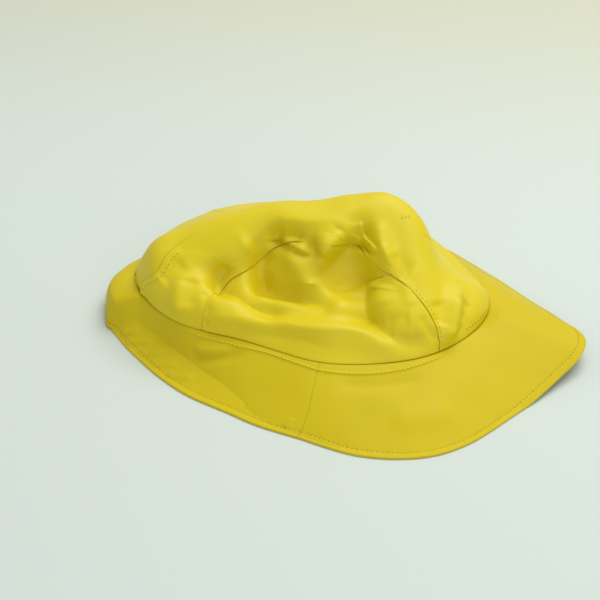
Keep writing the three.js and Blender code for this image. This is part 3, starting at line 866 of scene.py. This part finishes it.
@dataclass
class StitchRow:
    """A row of thread stitches that follows a line on the cloth.

    Lengths are in millimetres. Each stitch can turn by an angle from the line, as in a bar tack.
    """

    name: str
    points: Array
    normals: Array
    pitch: float = 2.9
    length: float = 2.1
    radius: float = 0.26
    sink: float = 0.42
    turned: float = 0.0
    thread: Thread = Thread.DARK
    rings: int = 5
    sides: int = 6
    taper: float = 0.85

    def placed(self) -> tuple[Array, Array, Array]:
        """Centre, direction and normal of each stitch, at equal steps along the line.

        Returns:
            Three arrays of shape (stitches, 3).
        """
        length = running_length(self.points)
        at = np.arange(self.pitch / 2, length[-1] - self.pitch / 2, self.pitch)

        def read(values: Array, where: Array) -> Array:
            """Values at distances along the line."""
            return np.stack([np.interp(where, length, values[:, k]) for k in range(3)], axis=-1)

        way = unit(read(self.points, at + self.length / 2) - read(self.points, at - self.length / 2))
        normal = unit(read(self.normals, at))
        way = way * math.cos(self.turned) + np.cross(normal, way) * math.sin(self.turned)
        return read(self.points, at), way, normal

    def build(self, origin: Array) -> bpy.types.Object:
        """Makes one mesh of all the row's stitches.

        Formula: rings round the thread, whose radius follows an ellipse and whose ends sink into the cloth.

        Args:
            origin: what is added to the form's coordinates to reach the frame's, in millimetres.

        Returns:
            The new object, whose "seam" attribute is 1 at both ends of a stitch.
        """
        centre, way, normal = (values[:, None, None, :] for values in self.placed())
        side = np.cross(normal, way)
        x = np.linspace(-1, 1, self.rings)[None, :, None, None]
        angle = (np.arange(self.sides) / self.sides * 2 * np.pi)[None, None, :, None]
        radius = self.radius * np.sqrt(1 - self.taper * x**2)
        points = (
            centre + way * x * self.length / 2 + radius * (normal * np.cos(angle) + side * np.sin(angle))
            - normal * self.sink * x**2
        )
        index = np.arange(points[..., 0].size).reshape(points.shape[:3])
        turned = np.roll(index, -1, axis=2)
        around = np.stack([index[:, :-1], index[:, 1:], turned[:, 1:], turned[:, :-1]], axis=-1)
        caps = index[:, 0].tolist() + index[:, -1, ::-1].tolist()
        # the mask marks where each stitch sinks into the cloth, for the thread's painted shade there
        mask = np.broadcast_to(x[..., 0] ** 4, index.shape)
        return place_mesh(self.name, points.reshape(-1, 3) + origin, around.reshape(-1, 4).tolist() + caps,
                          mask.ravel())


class Socket(Enum):
    """Kinds of shader socket that a node group of this scene has."""

    NUMBER = "NodeSocketFloat"
    PLACE = "NodeSocketVector"


def set_inputs(node: bpy.types.Node, values: dict[str | int, object]) -> None:
    """Sets constants on a node's own inputs, by the inputs' names."""
    for key, value in values.items():
        node.inputs[key].default_value = value


def add_node(
    tree: bpy.types.NodeTree, kind: str, values: dict[str | int, object] | None = None, **settings: object,
) -> bpy.types.Node:
    """Adds a node to a tree and sets its properties and constants.

    Args:
        tree: the tree.
        kind: the node's type.
        values: constants for its inputs.
        settings: property names and values.

    Returns:
        The new node.
    """
    node = tree.nodes.new(kind)
    for key, value in settings.items():
        setattr(node, key, value)
    set_inputs(node, values or {})
    return node


def link_all(tree: bpy.types.NodeTree, links: Sequence[tuple]) -> None:
    """Links a tree's nodes, each link being a node, its output, a node and its input."""
    for source, output, target, into in links:
        tree.links.new(source.outputs[output], target.inputs[into])


def new_material(name: str, values: dict[str | int, object]) -> tuple[bpy.types.Material, bpy.types.Node]:
    """Makes a material with a Principled shader.

    Args:
        name: the material's name.
        values: constants for the shader's inputs.

    Returns:
        The material and its shader.
    """
    material = bpy.data.materials.new(name)
    material.use_nodes = True
    shader = material.node_tree.nodes["Principled BSDF"]
    set_inputs(shader, values)
    return material, shader


@dataclass(frozen=True)
class ClothGrain:
    """Grain of coated cloth: a fine pebble for the bump, a slow mottle and patches of gloss."""

    pebble_scale: float = 1500.0
    mottle_scale: float = 22.0
    gloss_scale: float = 60.0

    def noise(self, group: bpy.types.NodeTree, scale: float, detail: float, out: str) -> None:
        """Adds one noise from the group's place to one of its outputs.

        Args:
            group: the node group.
            scale: the noise's scale.
            detail: its detail.
            out: the name of the output, which this adds.
        """
        group.interface.new_socket(out, in_out="OUTPUT", socket_type=Socket.NUMBER.value)
        noise = add_node(group, "ShaderNodeTexNoise", {"Scale": scale, "Detail": detail})
        link_all(group, [
            (group.nodes["Group Input"], "Place", noise, "Vector"),
            (noise, "Fac", group.nodes["Group Output"], out),
        ])

    def build(self) -> bpy.types.NodeTree:
        """Makes the shader node group that turns a place into Height, Mottle and Gloss.

        Returns:
            The node group.
        """
        group = bpy.data.node_groups.new("coated_cloth_grain", "ShaderNodeTree")
        group.interface.new_socket("Place", in_out="INPUT", socket_type=Socket.PLACE.value)
        group.nodes.new("NodeGroupInput")
        group.nodes.new("NodeGroupOutput")
        self.noise(group, self.pebble_scale, 3.0, "Height")
        self.noise(group, self.mottle_scale, 4.0, "Mottle")
        self.noise(group, self.gloss_scale, 2.0, "Gloss")
        return group


@dataclass(frozen=True)
class ClothFinish:
    """The look of one kind of coated cloth, with linear colours."""

    name: str
    deep: Triple = (0.67, 0.535, 0.006)
    pale: Triple = (0.75, 0.610, 0.010)
    # painted shade: the dark colour of the shaded crevices along the seams
    seam_shade_colour: Triple = (0.26, 0.165, 0.004)
    seam_shade_strength: float = 0.50
    roughness: tuple[float, float] = (0.40, 0.54)
    specular: float = 0.32
    grain: float = 0.10
    grain_height: float = 0.0002

    def build(self, grain_group: bpy.types.NodeTree) -> bpy.types.Material:
        """Makes the material, which reads Object coordinates and the mesh's own seam mask.

        Formula: the colour goes from deep to pale with the mottle, and towards a painted shade colour where
        the seam mask marks the shaded crevice of a seam.

        Args:
            grain_group: the shared group that gives height, mottle and gloss.

        Returns:
            The material.
        """
        material, shader = new_material(self.name, {"Specular IOR Level": self.specular})
        tree = material.node_tree
        place = add_node(tree, "ShaderNodeTexCoord")
        grain = add_node(tree, "ShaderNodeGroup", node_tree=grain_group)
        tints = {"A": (*self.deep, 1.0), "B": (*self.pale, 1.0)}
        shade = add_node(tree, "ShaderNodeMix", tints, data_type="RGBA")
        # mixes in the painted seam shade by the seam mask
        seam_shaded = add_node(tree, "ShaderNodeMix", {"B": (*self.seam_shade_colour, 1.0)}, data_type="RGBA")
        seam = add_node(tree, "ShaderNodeAttribute", attribute_name="seam")
        seam_shade_strength = add_node(tree, "ShaderNodeMath", {1: self.seam_shade_strength}, operation="MULTIPLY")
        low, high = self.roughness
        rough = add_node(tree, "ShaderNodeMapRange", {"To Min": low, "To Max": high})
        bump = add_node(tree, "ShaderNodeBump", {"Strength": self.grain, "Distance": self.grain_height})
        link_all(tree, [
            (place, "Object", grain, "Place"),
            (grain, "Mottle", shade, "Factor"),
            (shade, "Result", seam_shaded, "A"),
            (seam, "Fac", seam_shade_strength, 0),
            (seam_shade_strength, 0, seam_shaded, "Factor"),
            (seam_shaded, "Result", shader, "Base Color"),
            (grain, "Gloss", rough, "Value"),
            (rough, "Result", shader, "Roughness"),
            (grain, "Height", bump, "Height"),
            (bump, "Normal", shader, "Normal"),
        ])
        return material


@dataclass(frozen=True)
class ThreadFinish:
    """The look of sewing thread, with painted shade at both ends of each stitch, where it sinks into the
    cloth.
    """

    name: str
    # painted shade: this thread colour is darkened to stand for the shade on the stitches
    thread: Triple = (0.30, 0.20, 0.010)
    # painted shade: the colour at the stitch ends, where the thread sinks into the cloth
    hole_shade: Triple = (0.07, 0.04, 0.004)
    roughness: float = 0.7
    fibre_scale: float = 3000.0
    fibre_strength: float = 0.3
    fibre_height: float = 0.0001

    def build(self) -> bpy.types.Material:
        """Makes the material, which reads the mask along each stitch.

        Returns:
            The material.
        """
        material, shader = new_material(self.name, {"Roughness": self.roughness})
        tree = material.node_tree
        mask = add_node(tree, "ShaderNodeAttribute", attribute_name="seam")
        place = add_node(tree, "ShaderNodeTexCoord")
        fibre = add_node(tree, "ShaderNodeTexNoise", {"Scale": self.fibre_scale})
        tints = {"A": (*self.thread, 1.0), "B": (*self.hole_shade, 1.0)}
        tint = add_node(tree, "ShaderNodeMix", tints, data_type="RGBA")
        relief = {"Strength": self.fibre_strength, "Distance": self.fibre_height}
        bump = add_node(tree, "ShaderNodeBump", relief)
        link_all(tree, [
            (mask, "Fac", tint, "Factor"),
            (tint, "Result", shader, "Base Color"),
            (place, "Object", fibre, "Vector"),
            (fibre, "Fac", bump, "Height"),
            (bump, "Normal", shader, "Normal"),
        ])
        return material


@dataclass
class CrownPanel:
    """One panel of the crown between a first and a last line, each giving along and across.

    Cloth, lap and sink are in millimetres; flat is the width and length of the cut in metres and area its
    flat area in square metres.
    """

    name: str
    node: str
    form: HatForm
    first: Line
    last: Line
    first_edge: Edge
    last_edge: Edge
    columns: int
    rows: int
    flat: tuple[float, float]
    area: float
    first_shows: Array | None = None
    last_shows: Array | None = None
    cloth: float = 0.8
    lap: float = 0.35
    lap_end: tuple[float, float] = (0.1, 2.2)
    sink: float = 0.45
    hidden_sink: float = 0.2
    sink_span: tuple[float, float] = (0.3, 3.0)
    tuck: float = 0.5
    tuck_reach: float = 1.4
    groove: float = 0.16
    groove_width: float = 0.3
    # width in millimetres of the painted shade line beside a seam
    dark_width: float = 0.35
    end_trim: float = 0.003
    past_seam: float = 0.15
    edge_share: float = 0.42
    samples: int = 240

    def parameters(self) -> tuple[Array, Array, Array, Array]:
        """Places of the grid's points.

        Formula: rows at set distances from both seams, measured on the smooth crown, and the rest evenly
        between; narrow columns squeeze the set distances.

        Returns:
            Along, across and the distances from the first and the last line.
        """
        share = np.linspace(self.end_trim, 1 - self.end_trim, self.columns)
        start, end = np.stack(self.first(share), -1)[:, None], np.stack(self.last(share), -1)[:, None]
        sample = np.linspace(-self.past_seam, 1 + self.past_seam, self.samples)
        place = start + (end - start) * sample[None, :, None]
        lengths = row_lengths(self.form.crown_base(place[..., 0], place[..., 1]))
        zero, whole = (lengths_at(place_at, sample, lengths) for place_at in (0.0, 1.0))
        lengths, whole = lengths - zero, whole - zero
        first_rows = np.array(EDGE_ROWS[self.first_edge])[None]
        last_rows = np.array(EDGE_ROWS[self.last_edge])[None, ::-1]
        squeeze = np.minimum(1.0, self.edge_share * whole / max(first_rows.max(), last_rows.max()))
        between = np.linspace(0, 1, self.rows)[None, 1:-1]
        low, high = first_rows[:, -1:] * squeeze, whole - last_rows[:, :1] * squeeze
        wanted = np.concatenate(
            [first_rows * squeeze, low + (high - low) * between, whole - last_rows * squeeze], axis=1)
        across_share = sample[0] + shares_at(lengths, wanted) * (sample[-1] - sample[0])
        place = start + (end - start) * across_share[..., None]
        return place[..., 0], np.clip(place[..., 1], 0.0, 1.0), wanted, whole - wanted

    def grid(self) -> ClothGrid:
        """Points and normals of the cloth's middle, with their distances from both seams.

        Returns:
            The panel's grid.
        """
        along, across, from_first, from_last = self.parameters()
        points = self.form.crown(along, across)
        return ClothGrid(points, grid_normals(points), from_first, from_last, along, across)

    def edge_rise(self, edge: Edge, distance: Array, openness: Array, run: Array) -> Array:
        """Lift of the cloth's middle near one edge.

        Formula: a lapped edge stands up as far as its stitches, with a groove under them; an edge that
        runs on below sinks; the base tucks in.

        Args:
            edge: how the edge is sewn.
            distance: millimetres from it.
            openness: how openly the seam shows, from 0 to 1.
            run: millimetres along it.

        Returns:
            Millimetres along the normal.
        """
        if edge is Edge.BASE:
            return -self.tuck * np.exp(-np.maximum(distance, 0.0) / self.tuck_reach)
        if edge is Edge.UNDER:
            shown = self.hidden_sink + (1 - self.hidden_sink) * openness
            return -self.sink * shown * (1 - smoothstep(*self.sink_span, distance))
        falls, flat = (STITCH_LINE + past for past in self.lap_end)
        lapped = self.lap * (1 - smoothstep(falls, flat, distance))
        past = distance - STITCH_LINE
        stitched = Pucker().height(run, past) - self.groove * bell(past, self.groove_width)
        return (lapped + stitched) * openness

    def seam_values(self, edge: Edge, row: int, grid: ClothGrid, shows: Array | None) -> tuple[Array, Array]:
        """Rise and painted seam shade along one edge, where stretches on the crown's base are turned in.

        Args:
            edge: how the edge is sewn away from the base.
            row: 0 for the first edge and -1 for the last.
            grid: the panel's grid.
            shows: a table of how openly the seam shows, or None where it does everywhere.

        Returns:
            Millimetres along the normal, and painted seam shade from 0 to 1.
        """
        distance = grid.from_first if row == 0 else grid.from_last
        across = grid.two[:, row:][:, :1]
        on_base = ((across <= 0.0) | (across >= 1.0)).astype(float)
        along = grid.one[:, row:][:, :1]
        openness = np.ones_like(along) if shows is None else read_table(shows, along)
        openness = openness * (1 - on_base)
        sewn = self.edge_rise(edge, distance, openness, grid.run(row))
        base = self.edge_rise(Edge.BASE, distance, openness, grid.run(row))
        # painted shade: a dark line beside the seam, where its crevice is shaded
        base_seam_shade = read_table(BASE_SEAM_SHOWS, along)
        dark = bell(distance, self.dark_width) * np.maximum(openness, base_seam_shade * on_base)
        return sewn * (1 - on_base) + base * on_base, dark

    def shell(self) -> Shell:
        """The panel as a closed sheet, sewn along its first and its last edge.

        Returns:
            The sheet.
        """
        grid = self.grid()
        first_rise, first_dark = self.seam_values(self.first_edge, 0, grid, self.first_shows)
        last_rise, last_dark = self.seam_values(self.last_edge, -1, grid, self.last_shows)
        flat = np.zeros_like(first_rise)
        return Shell(grid, self.cloth / 2, first_rise + last_rise, flat, np.maximum(first_dark, last_dark))

    def stitches(self, name: str, shell: Shell, row: int, between: tuple[float, float]) -> StitchRow:
        """A row of stitches along one of the grid's rows.

        Args:
            name: the row's name.
            shell: the panel's sheet.
            row: number of the grid's row.
            between: where along the crown the stitches start and end.

        Returns:
            The row of stitches.
        """
        along = shell.grid.one[:, row]
        kept = (along > between[0]) & (along < between[1])
        return StitchRow(name, shell.outside()[kept, row], shell.grid.normals[kept, row])


@dataclass
class BrimPanel:
    """One half of the brim, from the hem inwards to just under the crown.

    Turns are shares of a turn round the hat, and lean is how far a side seam moves back from hem to
    crown. Other lengths are in millimetres; flat is the width and length of the cut in metres and area
    its flat area in square metres.
    """

    name: str
    node: str
    form: HatForm
    turns: tuple[float, float]
    leans: tuple[float, float]
    columns: int
    rows: int
    flat: tuple[float, float]
    area: float
    cloth: float = 1.2
    hem_extra: float = 0.35
    hem_step: tuple[float, float] = (0.4, 0.3)
    hem_groove: float = 0.18
    hem_groove_width: float = 0.35
    ledge_rise: float = 0.60
    ledge_bell: float = 0.5
    ledge_drop: float = 0.25
    ledge_turns: tuple[float, float] = (0.150, 0.395)
    ledge_fade: float = 0.02
    tuck: float = 0.7
    under_crown: float = 0.5
    side_groove: float = 0.12
    side_groove_width: float = 0.9
    # painted shade along the side seams and the crown's seam: darkness and widths in millimetres
    side_dark: float = 0.7
    side_dark_width: float = 0.5
    crown_dark_width: float = 0.7
    knee_room: float = 4.0
    sampled: float = 1.12
    side_columns: tuple[float, ...] = (0.0, 0.0006, 0.0016, 0.003, 0.005)
    first_column: float = 0.008
    samples: int = 240

    def turn_at(self, share: Array, out: Array) -> Array:
        """Turn round the hat.

        Formula: an even way between the turns, plus the seams' leans times 1 - out.

        Args:
            share: share of the way between the side seams.
            out: 0 at the crown and 1 at the hem.

        Returns:
            The turn at each place.
        """
        return (
            self.turns[0] + (self.turns[1] - self.turns[0]) * share
            + (self.leans[0] * (1 - share) + self.leans[1] * share) * (1 - out)
        )

    def column_shares(self) -> Array:
        """Shares of the way round, close together beside both side seams.

        Returns:
            One share for each column of the grid.
        """
        close = np.array(self.side_columns)
        even = np.linspace(self.first_column, 1 - self.first_column, self.columns)
        return np.concatenate([close, even, 1 - close[::-1]])

    def parameters(self) -> tuple[Array, Array, Array, Array, Array]:
        """Places of the grid's points.

        Formula: rows at set distances from the hem and from the crown's seam, measured on the smooth
        brim, one row at the knee and the rest evenly between.

        Returns:
            Turn, out, the distances from the hem and from the crown's seam, and the ledge's width.
        """
        share = self.column_shares()[:, None]
        sample = 1 - np.linspace(0.0, self.sampled, self.samples)[None]
        out = np.broadcast_to(sample, (len(share), self.samples))
        lengths = row_lengths(self.form.brim(self.turn_at(share, sample), out))
        knee, whole = (lengths_at(from_hem, 1 - sample[0], lengths) for from_hem in (0.5, 1.0))
        turn = self.turn_at(share, np.zeros_like(share))
        width = read_table(LEDGE_WIDTHS, np.mod(turn, 1.0))
        hem_rows = np.repeat(np.array(EDGE_ROWS[Edge.HEM])[None], len(share), axis=0)
        ledge_rows = np.array(EDGE_ROWS[Edge.LEDGE])[None, ::-1] * width / STITCH_LINE
        start, end = hem_rows[:, -1:], whole - ledge_rows[:, :1]
        middle = np.clip(knee, start + self.knee_room, end - self.knee_room)
        outer = np.linspace(0, 1, self.rows // 2)[None, 1:]
        inner = np.linspace(0, 1, self.rows - self.rows // 2)[None, 1:-1]
        wanted = np.concatenate([
            hem_rows, start + (middle - start) * outer, middle + (end - middle) * inner, whole - ledge_rows,
        ], axis=1)
        out = 1 - shares_at(lengths, wanted) * self.sampled
        return self.turn_at(share, out), out, wanted, whole - wanted, width

    def ledge(self, turn: Array) -> Array:
        """How much of the ledge stands up.

        Args:
            turn: turn round the hat.

        Returns:
            Shares from 0 to 1.
        """
        start, end = self.ledge_turns
        wrapped = np.mod(turn, 1.0)
        rising = smoothstep(start - self.ledge_fade, start + self.ledge_fade / 2, wrapped)
        return rising * (1 - smoothstep(end - self.ledge_fade, end + self.ledge_fade, wrapped))

    def shell(self) -> Shell:
        """The panel as a closed sheet.

        Formula: a doubled hem outside its stitches, a groove under them, a thin raised edge where the
        ledge ends, grooves at the side seams, and the cloth tucked down at the crown.

        Returns:
            The sheet.
        """
        turn, out, from_hem, from_seam, width = self.parameters()
        points = self.form.brim_cloth(turn, out)
        points[..., 2] = np.maximum(points[..., 2], self.cloth / 2)
        grid = ClothGrid(points, grid_normals(points), from_hem, from_seam, turn, out)
        run = grid.run(edge_row(Edge.HEM, STITCH_LINE))
        from_side = np.minimum(run, run[-1:] - run)
        hem = 1 - smoothstep(STITCH_LINE - self.hem_step[0], STITCH_LINE + self.hem_step[1], from_hem)
        past = from_hem - STITCH_LINE
        hem_line = Pucker().height(run, past) - self.hem_groove * bell(past, self.hem_groove_width)
        edge = self.ledge_rise * bell(from_seam - width, self.ledge_bell)
        edge = edge - self.ledge_drop * smoothstep(0.0, 1.0, width - from_seam)
        tuck = -self.tuck * np.exp(-np.maximum(from_seam, 0.0)) - self.under_crown * (from_seam < 0)
        side = -self.side_groove * bell(from_side, self.side_groove_width)
        rise = hem_line + edge * self.ledge(turn) + tuck + side
        # painted shade: a dark line along the crown's seam and the side seams, where the crevice between
        # panels is shaded
        base_seam_shade = read_table(BASE_SEAM_SHOWS, np.mod(turn, 1.0) * 2)
        dark = np.maximum(
            base_seam_shade * bell(from_seam, self.crown_dark_width),
            self.side_dark * bell(from_side, self.side_dark_width))
        return Shell(grid, self.cloth / 2, rise, self.hem_extra * hem, dark)

    def stitches(self, shell: Shell) -> list[StitchRow]:
        """The row along the hem, and the one along the ledge's raised edge.

        Args:
            shell: the panel's sheet.

        Returns:
            Two rows of stitches.
        """
        outside, normals = shell.outside(), shell.grid.normals
        hem = edge_row(Edge.HEM, STITCH_LINE)
        ledge = outside.shape[1] - 1 - edge_row(Edge.LEDGE, STITCH_LINE)
        stands = self.ledge(shell.grid.one[:, ledge]) > 0.5
        return [
            StitchRow(f"{self.name}_hem_stitches", outside[:, hem], normals[:, hem]),
            StitchRow(f"{self.name}_ledge_stitches", outside[stands, ledge], normals[stands, ledge],
                      pitch=2.7, length=2.5, radius=0.36, sink=0.25, thread=Thread.BRIGHT),
        ]


@dataclass
class Hat:
    """The whole hat: four crown panels, two brim panels and the rows of stitches."""

    form: HatForm = field(default_factory=HatForm)
    arch: SidePanelArch = field(default_factory=SidePanelArch)
    side_turn: float = 0.259
    side_lean: float = 0.012
    side_overlap: float = 0.0007
    tack_lift: float = 0.8
    tack_step: float = 0.01

    def crown_panels(self) -> list[CrownPanel]:
        """The four crown panels.

        Returns:
            The panels, near side first.
        """
        arch, form = self.arch, self.form
        return [
            CrownPanel("near_side_panel", "crown_near_side", form, arch.foot, arch.line, Edge.BASE,
                       Edge.UNDER, columns=240, rows=150, flat=(0.085, 0.170), area=0.0095,
                       last_shows=ARCH_SEAM_SHOWS),
            CrownPanel("near_top_panel", "crown_near_top", form, arch.sill, centre_seam, Edge.OVER,
                       Edge.OVER, columns=360, rows=90, flat=(0.090, 0.270), area=0.0105,
                       first_shows=ARCH_SEAM_SHOWS, last_shows=CENTRE_SEAM_SHOWS),
            CrownPanel("far_top_panel", "crown_far_top", form, centre_seam, mirrored(arch.sill),
                       Edge.UNDER, Edge.OVER, columns=320, rows=60, flat=(0.105, 0.290), area=0.0122,
                       first_shows=CENTRE_SEAM_SHOWS),
            CrownPanel("far_side_panel", "crown_far_side", form, mirrored(arch.line), mirrored(arch.foot),
                       Edge.UNDER, Edge.BASE, columns=200, rows=50, flat=(0.085, 0.170), area=0.0098),
        ]

    def brim_panels(self) -> list[BrimPanel]:
        """The two halves of the brim, of which the front one runs on a little past both side seams.

        Returns:
            The front and the back panel.
        """
        near, far, lean = self.side_turn, -self.side_turn, self.side_lean
        front = (far - self.side_overlap, near + self.side_overlap)
        return [
            BrimPanel("front_brim_panel", "brim_front", self.form, front, (-lean, lean),
                      columns=400, rows=52, flat=(0.120, 0.300), area=0.0145),
            BrimPanel("back_brim_panel", "brim_back", self.form, (near, 1 + far), (lean, -lean),
                      columns=400, rows=52, flat=(0.160, 0.340), area=0.0205),
        ]

    def bar_tacks(self) -> StitchRow:
        """Three short stitches across the ridge's right end.

        Returns:
            The row of stitches.
        """
        points = self.form.crown(BAR_TACKS[:, 0], BAR_TACKS[:, 1])
        normals = surface_normals(self.form.crown, BAR_TACKS[:, 0], BAR_TACKS[:, 1], self.tack_step)
        return StitchRow("bar_tacks", points + normals * self.tack_lift, normals, pitch=2.4, length=3.4,
                         radius=0.4, turned=1.1, thread=Thread.BRIGHT)

    def crown_stitches(self, panel: CrownPanel, shell: Shell) -> list[StitchRow]:
        """Rows of stitches on one crown panel.

        Args:
            panel: the panel.
            shell: its sheet.

        Returns:
            The rows, which only the near top panel has.
        """
        if panel.node != "crown_near_top":
            return []
        over = edge_row(Edge.OVER, STITCH_LINE)
        last = shell.rise.shape[1] - 1 - over
        return [
            panel.stitches("centre_seam_stitches", shell, last, between=(0.02, 0.24)),
            panel.stitches("arch_seam_stitches", shell, over, between=(0.735, 0.795)),
            panel.stitches("crown_base_stitches", shell, over, between=(0.865, 0.985)),
            self.bar_tacks(),
        ]

    def build(self) -> None:
        grain = ClothGrain().build()
        crown_cloth = ClothFinish("crown_rain_cloth").build(grain)
        # painted shade: the brim's copy of the crown's cloth is darker, standing for the brim's darker
        # shading
        brim_cloth = ClothFinish("shaded_brim_rain_cloth", deep=(0.58, 0.455, 0.004), pale=(0.65, 0.52, 0.006),
                                 roughness=(0.50, 0.62), specular=0.2).build(grain)
        threads = {
            # the darker thread's colour is painted shade; both threads get painted shade at their stitch
            # ends
            Thread.DARK: ThreadFinish("shade_darkened_thread").build(),
            Thread.BRIGHT: ThreadFinish(
                "bright_thread", thread=(0.80, 0.66, 0.02), hole_shade=(0.38, 0.27, 0.01)).build(),
        }
        for panel in self.crown_panels():
            shell = panel.shell()
            sewn = self.crown_stitches(panel, shell)
            self.add_panel(panel, shell, crown_cloth, "crown_cloth", sewn, threads)
        for brim in self.brim_panels():
            shell = brim.shell()
            self.add_panel(brim, shell, brim_cloth, "brim_cloth", brim.stitches(shell), threads)

    def add_panel(
        self,
        panel: CrownPanel | BrimPanel,
        shell: Shell,
        cloth: bpy.types.Material,
        slot: str,
        rows: Sequence[StitchRow],
        threads: dict[Thread, bpy.types.Material],
    ) -> None:
        """Makes one panel with its rows of stitches, and reports it.

        Args:
            panel: the panel.
            shell: its sheet.
            cloth: the cloth's material.
            slot: which cloth the panel is of; for "brim_cloth" no point of the sheet goes below the floor.
            rows: the rows of stitches on it.
            threads: the material of each thread.
        """
        origin = np.array(self.form.origin)
        made = shell_object(panel.name, shell, origin, on_floor=slot == "brim_cloth")
        dress(made, cloth)
        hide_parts(panel.node)
        sewn = [row.build(origin) for row in rows]
        for row, made_row in zip(rows, sewn):
            dress(made_row, threads[row.thread])
        report(made)


def report(piece: bpy.types.Object) -> None:
    """Logs a piece's number of faces and the area of one side of its cloth."""
    area = sum(face.area for face in piece.data.polygons) / 2
    LOG.info("%s: %d faces, %.4f square metres of cloth", piece.name, len(piece.data.polygons), area)


def dress(piece: bpy.types.Object, material: bpy.types.Material) -> None:
    """Gives a piece its material, and lets it ride on the hat's one body.

    Args:
        piece: the piece.
        material: its material.
    """
    piece.data.materials.append(material)
    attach(piece, BODY)


@dataclass(frozen=True)
class SoftLight:
    """A soft square light that faces the hat, with place and side in metres and power in watts."""

    name: str
    place: Triple
    side: float
    power: float

    def build(self) -> None:
        """Adds the light to the scene."""
        data = bpy.data.lights.new(self.name, "AREA")
        data.size = self.side
        data.energy = self.power
        made = add_object(self.name, data)
        made.location = self.place
        made.rotation_euler = (-Vector(self.place)).to_track_quat("-Z", "Y").to_euler()


@dataclass(frozen=True)
class Studio:
    """Camera, floor and soft light, in metres."""

    camera_place: Triple = (0.7572, 0.1080, 0.5561)
    forward: Triple = (-0.8067, -0.1422, -0.5736)
    upward: Triple = (-0.5649, -0.0996, 0.8192)
    lens: float = 89.28
    sensor: float = 36.0
    floor_size: float = 8.0
    floor_near: Triple = (0.62, 0.69, 0.635)
    # painted shade: far behind the hat the floor is darker, standing for light that falls off
    floor_far_shaded: Triple = (0.58, 0.572, 0.40)
    floor_roughness: float = 0.8
    floor_specular: float = 0.2
    tint_span: tuple[float, float] = (-0.08, -0.75)
    world: float = 0.53
    lights: tuple[SoftLight, ...] = (
        SoftLight("overhead", (-0.65, 0.42, 1.58), side=1.3, power=22.0),
        SoftLight("fill", (1.3, 0.55, 0.8), side=1.0, power=4.5),
    )

    def camera(self) -> None:
        """Makes the camera. Formula: its axes are right, up and backwards, as columns of a matrix."""
        forward, upward = Vector(self.forward).normalized(), Vector(self.upward).normalized()
        right = forward.cross(upward).normalized()
        turned = Matrix((right, upward, -forward)).transposed().to_4x4()
        data = bpy.data.cameras.new("camera")
        data.lens = self.lens
        data.sensor_width = self.sensor
        made = add_object("camera", data)
        made.matrix_world = Matrix.Translation(self.camera_place) @ turned
        bpy.context.scene.camera = made

    def floor(self) -> None:
        """Makes the plain floor, warmer and darker far behind the hat; the darkening is painted shade."""
        half = self.floor_size / 2
        mesh = bpy.data.meshes.new("floor")
        square = [(-half, -half, 0), (half, -half, 0), (half, half, 0), (-half, half, 0)]
        mesh.from_pydata(square, [], [(0, 1, 2, 3)])
        made = add_object("floor", mesh)
        material, shader = new_material(
            "floor", {"Roughness": self.floor_roughness, "Specular IOR Level": self.floor_specular})
        tree = material.node_tree
        place = add_node(tree, "ShaderNodeTexCoord")
        split = add_node(tree, "ShaderNodeSeparateXYZ")
        span = {"From Min": self.tint_span[0], "From Max": self.tint_span[1]}
        share = add_node(tree, "ShaderNodeMapRange", span, interpolation_type="SMOOTHSTEP")
        tints = {"A": (*self.floor_near, 1.0), "B": (*self.floor_far_shaded, 1.0)}
        tint = add_node(tree, "ShaderNodeMix", tints, data_type="RGBA")
        link_all(tree, [
            (place, "Object", split, 0),
            (split, "X", share, "Value"),
            (share, "Result", tint, "Factor"),
            (tint, "Result", shader, "Base Color"),
        ])
        mesh.materials.append(material)

    def light(self) -> None:
        """Makes the even surroundings and the soft lights."""
        world = bpy.data.worlds.new("studio")
        world.use_nodes = True
        background = world.node_tree.nodes["Background"]
        set_inputs(background, {"Color": (1.0, 1.0, 1.0, 1.0), "Strength": self.world})
        bpy.context.scene.world = world
        for light in self.lights:
            light.build()

    def build(self) -> None:
        """Makes the whole setting."""
        self.camera()
        self.floor()
        self.light()
        bpy.context.scene.view_settings.view_transform = "Standard"


def corners(box: tuple[Vector, Vector]) -> list[list[float]]:
    """A box's lowest and highest corner as plain lists."""
    return [list(corner) for corner in box]


def main() -> None:
    """Builds the studio and the hat."""
    logging.basicConfig(level=logging.INFO, format="%(name)s %(message)s")
    Studio().build()
    Hat().build()


if __name__ == "__main__":
    main()
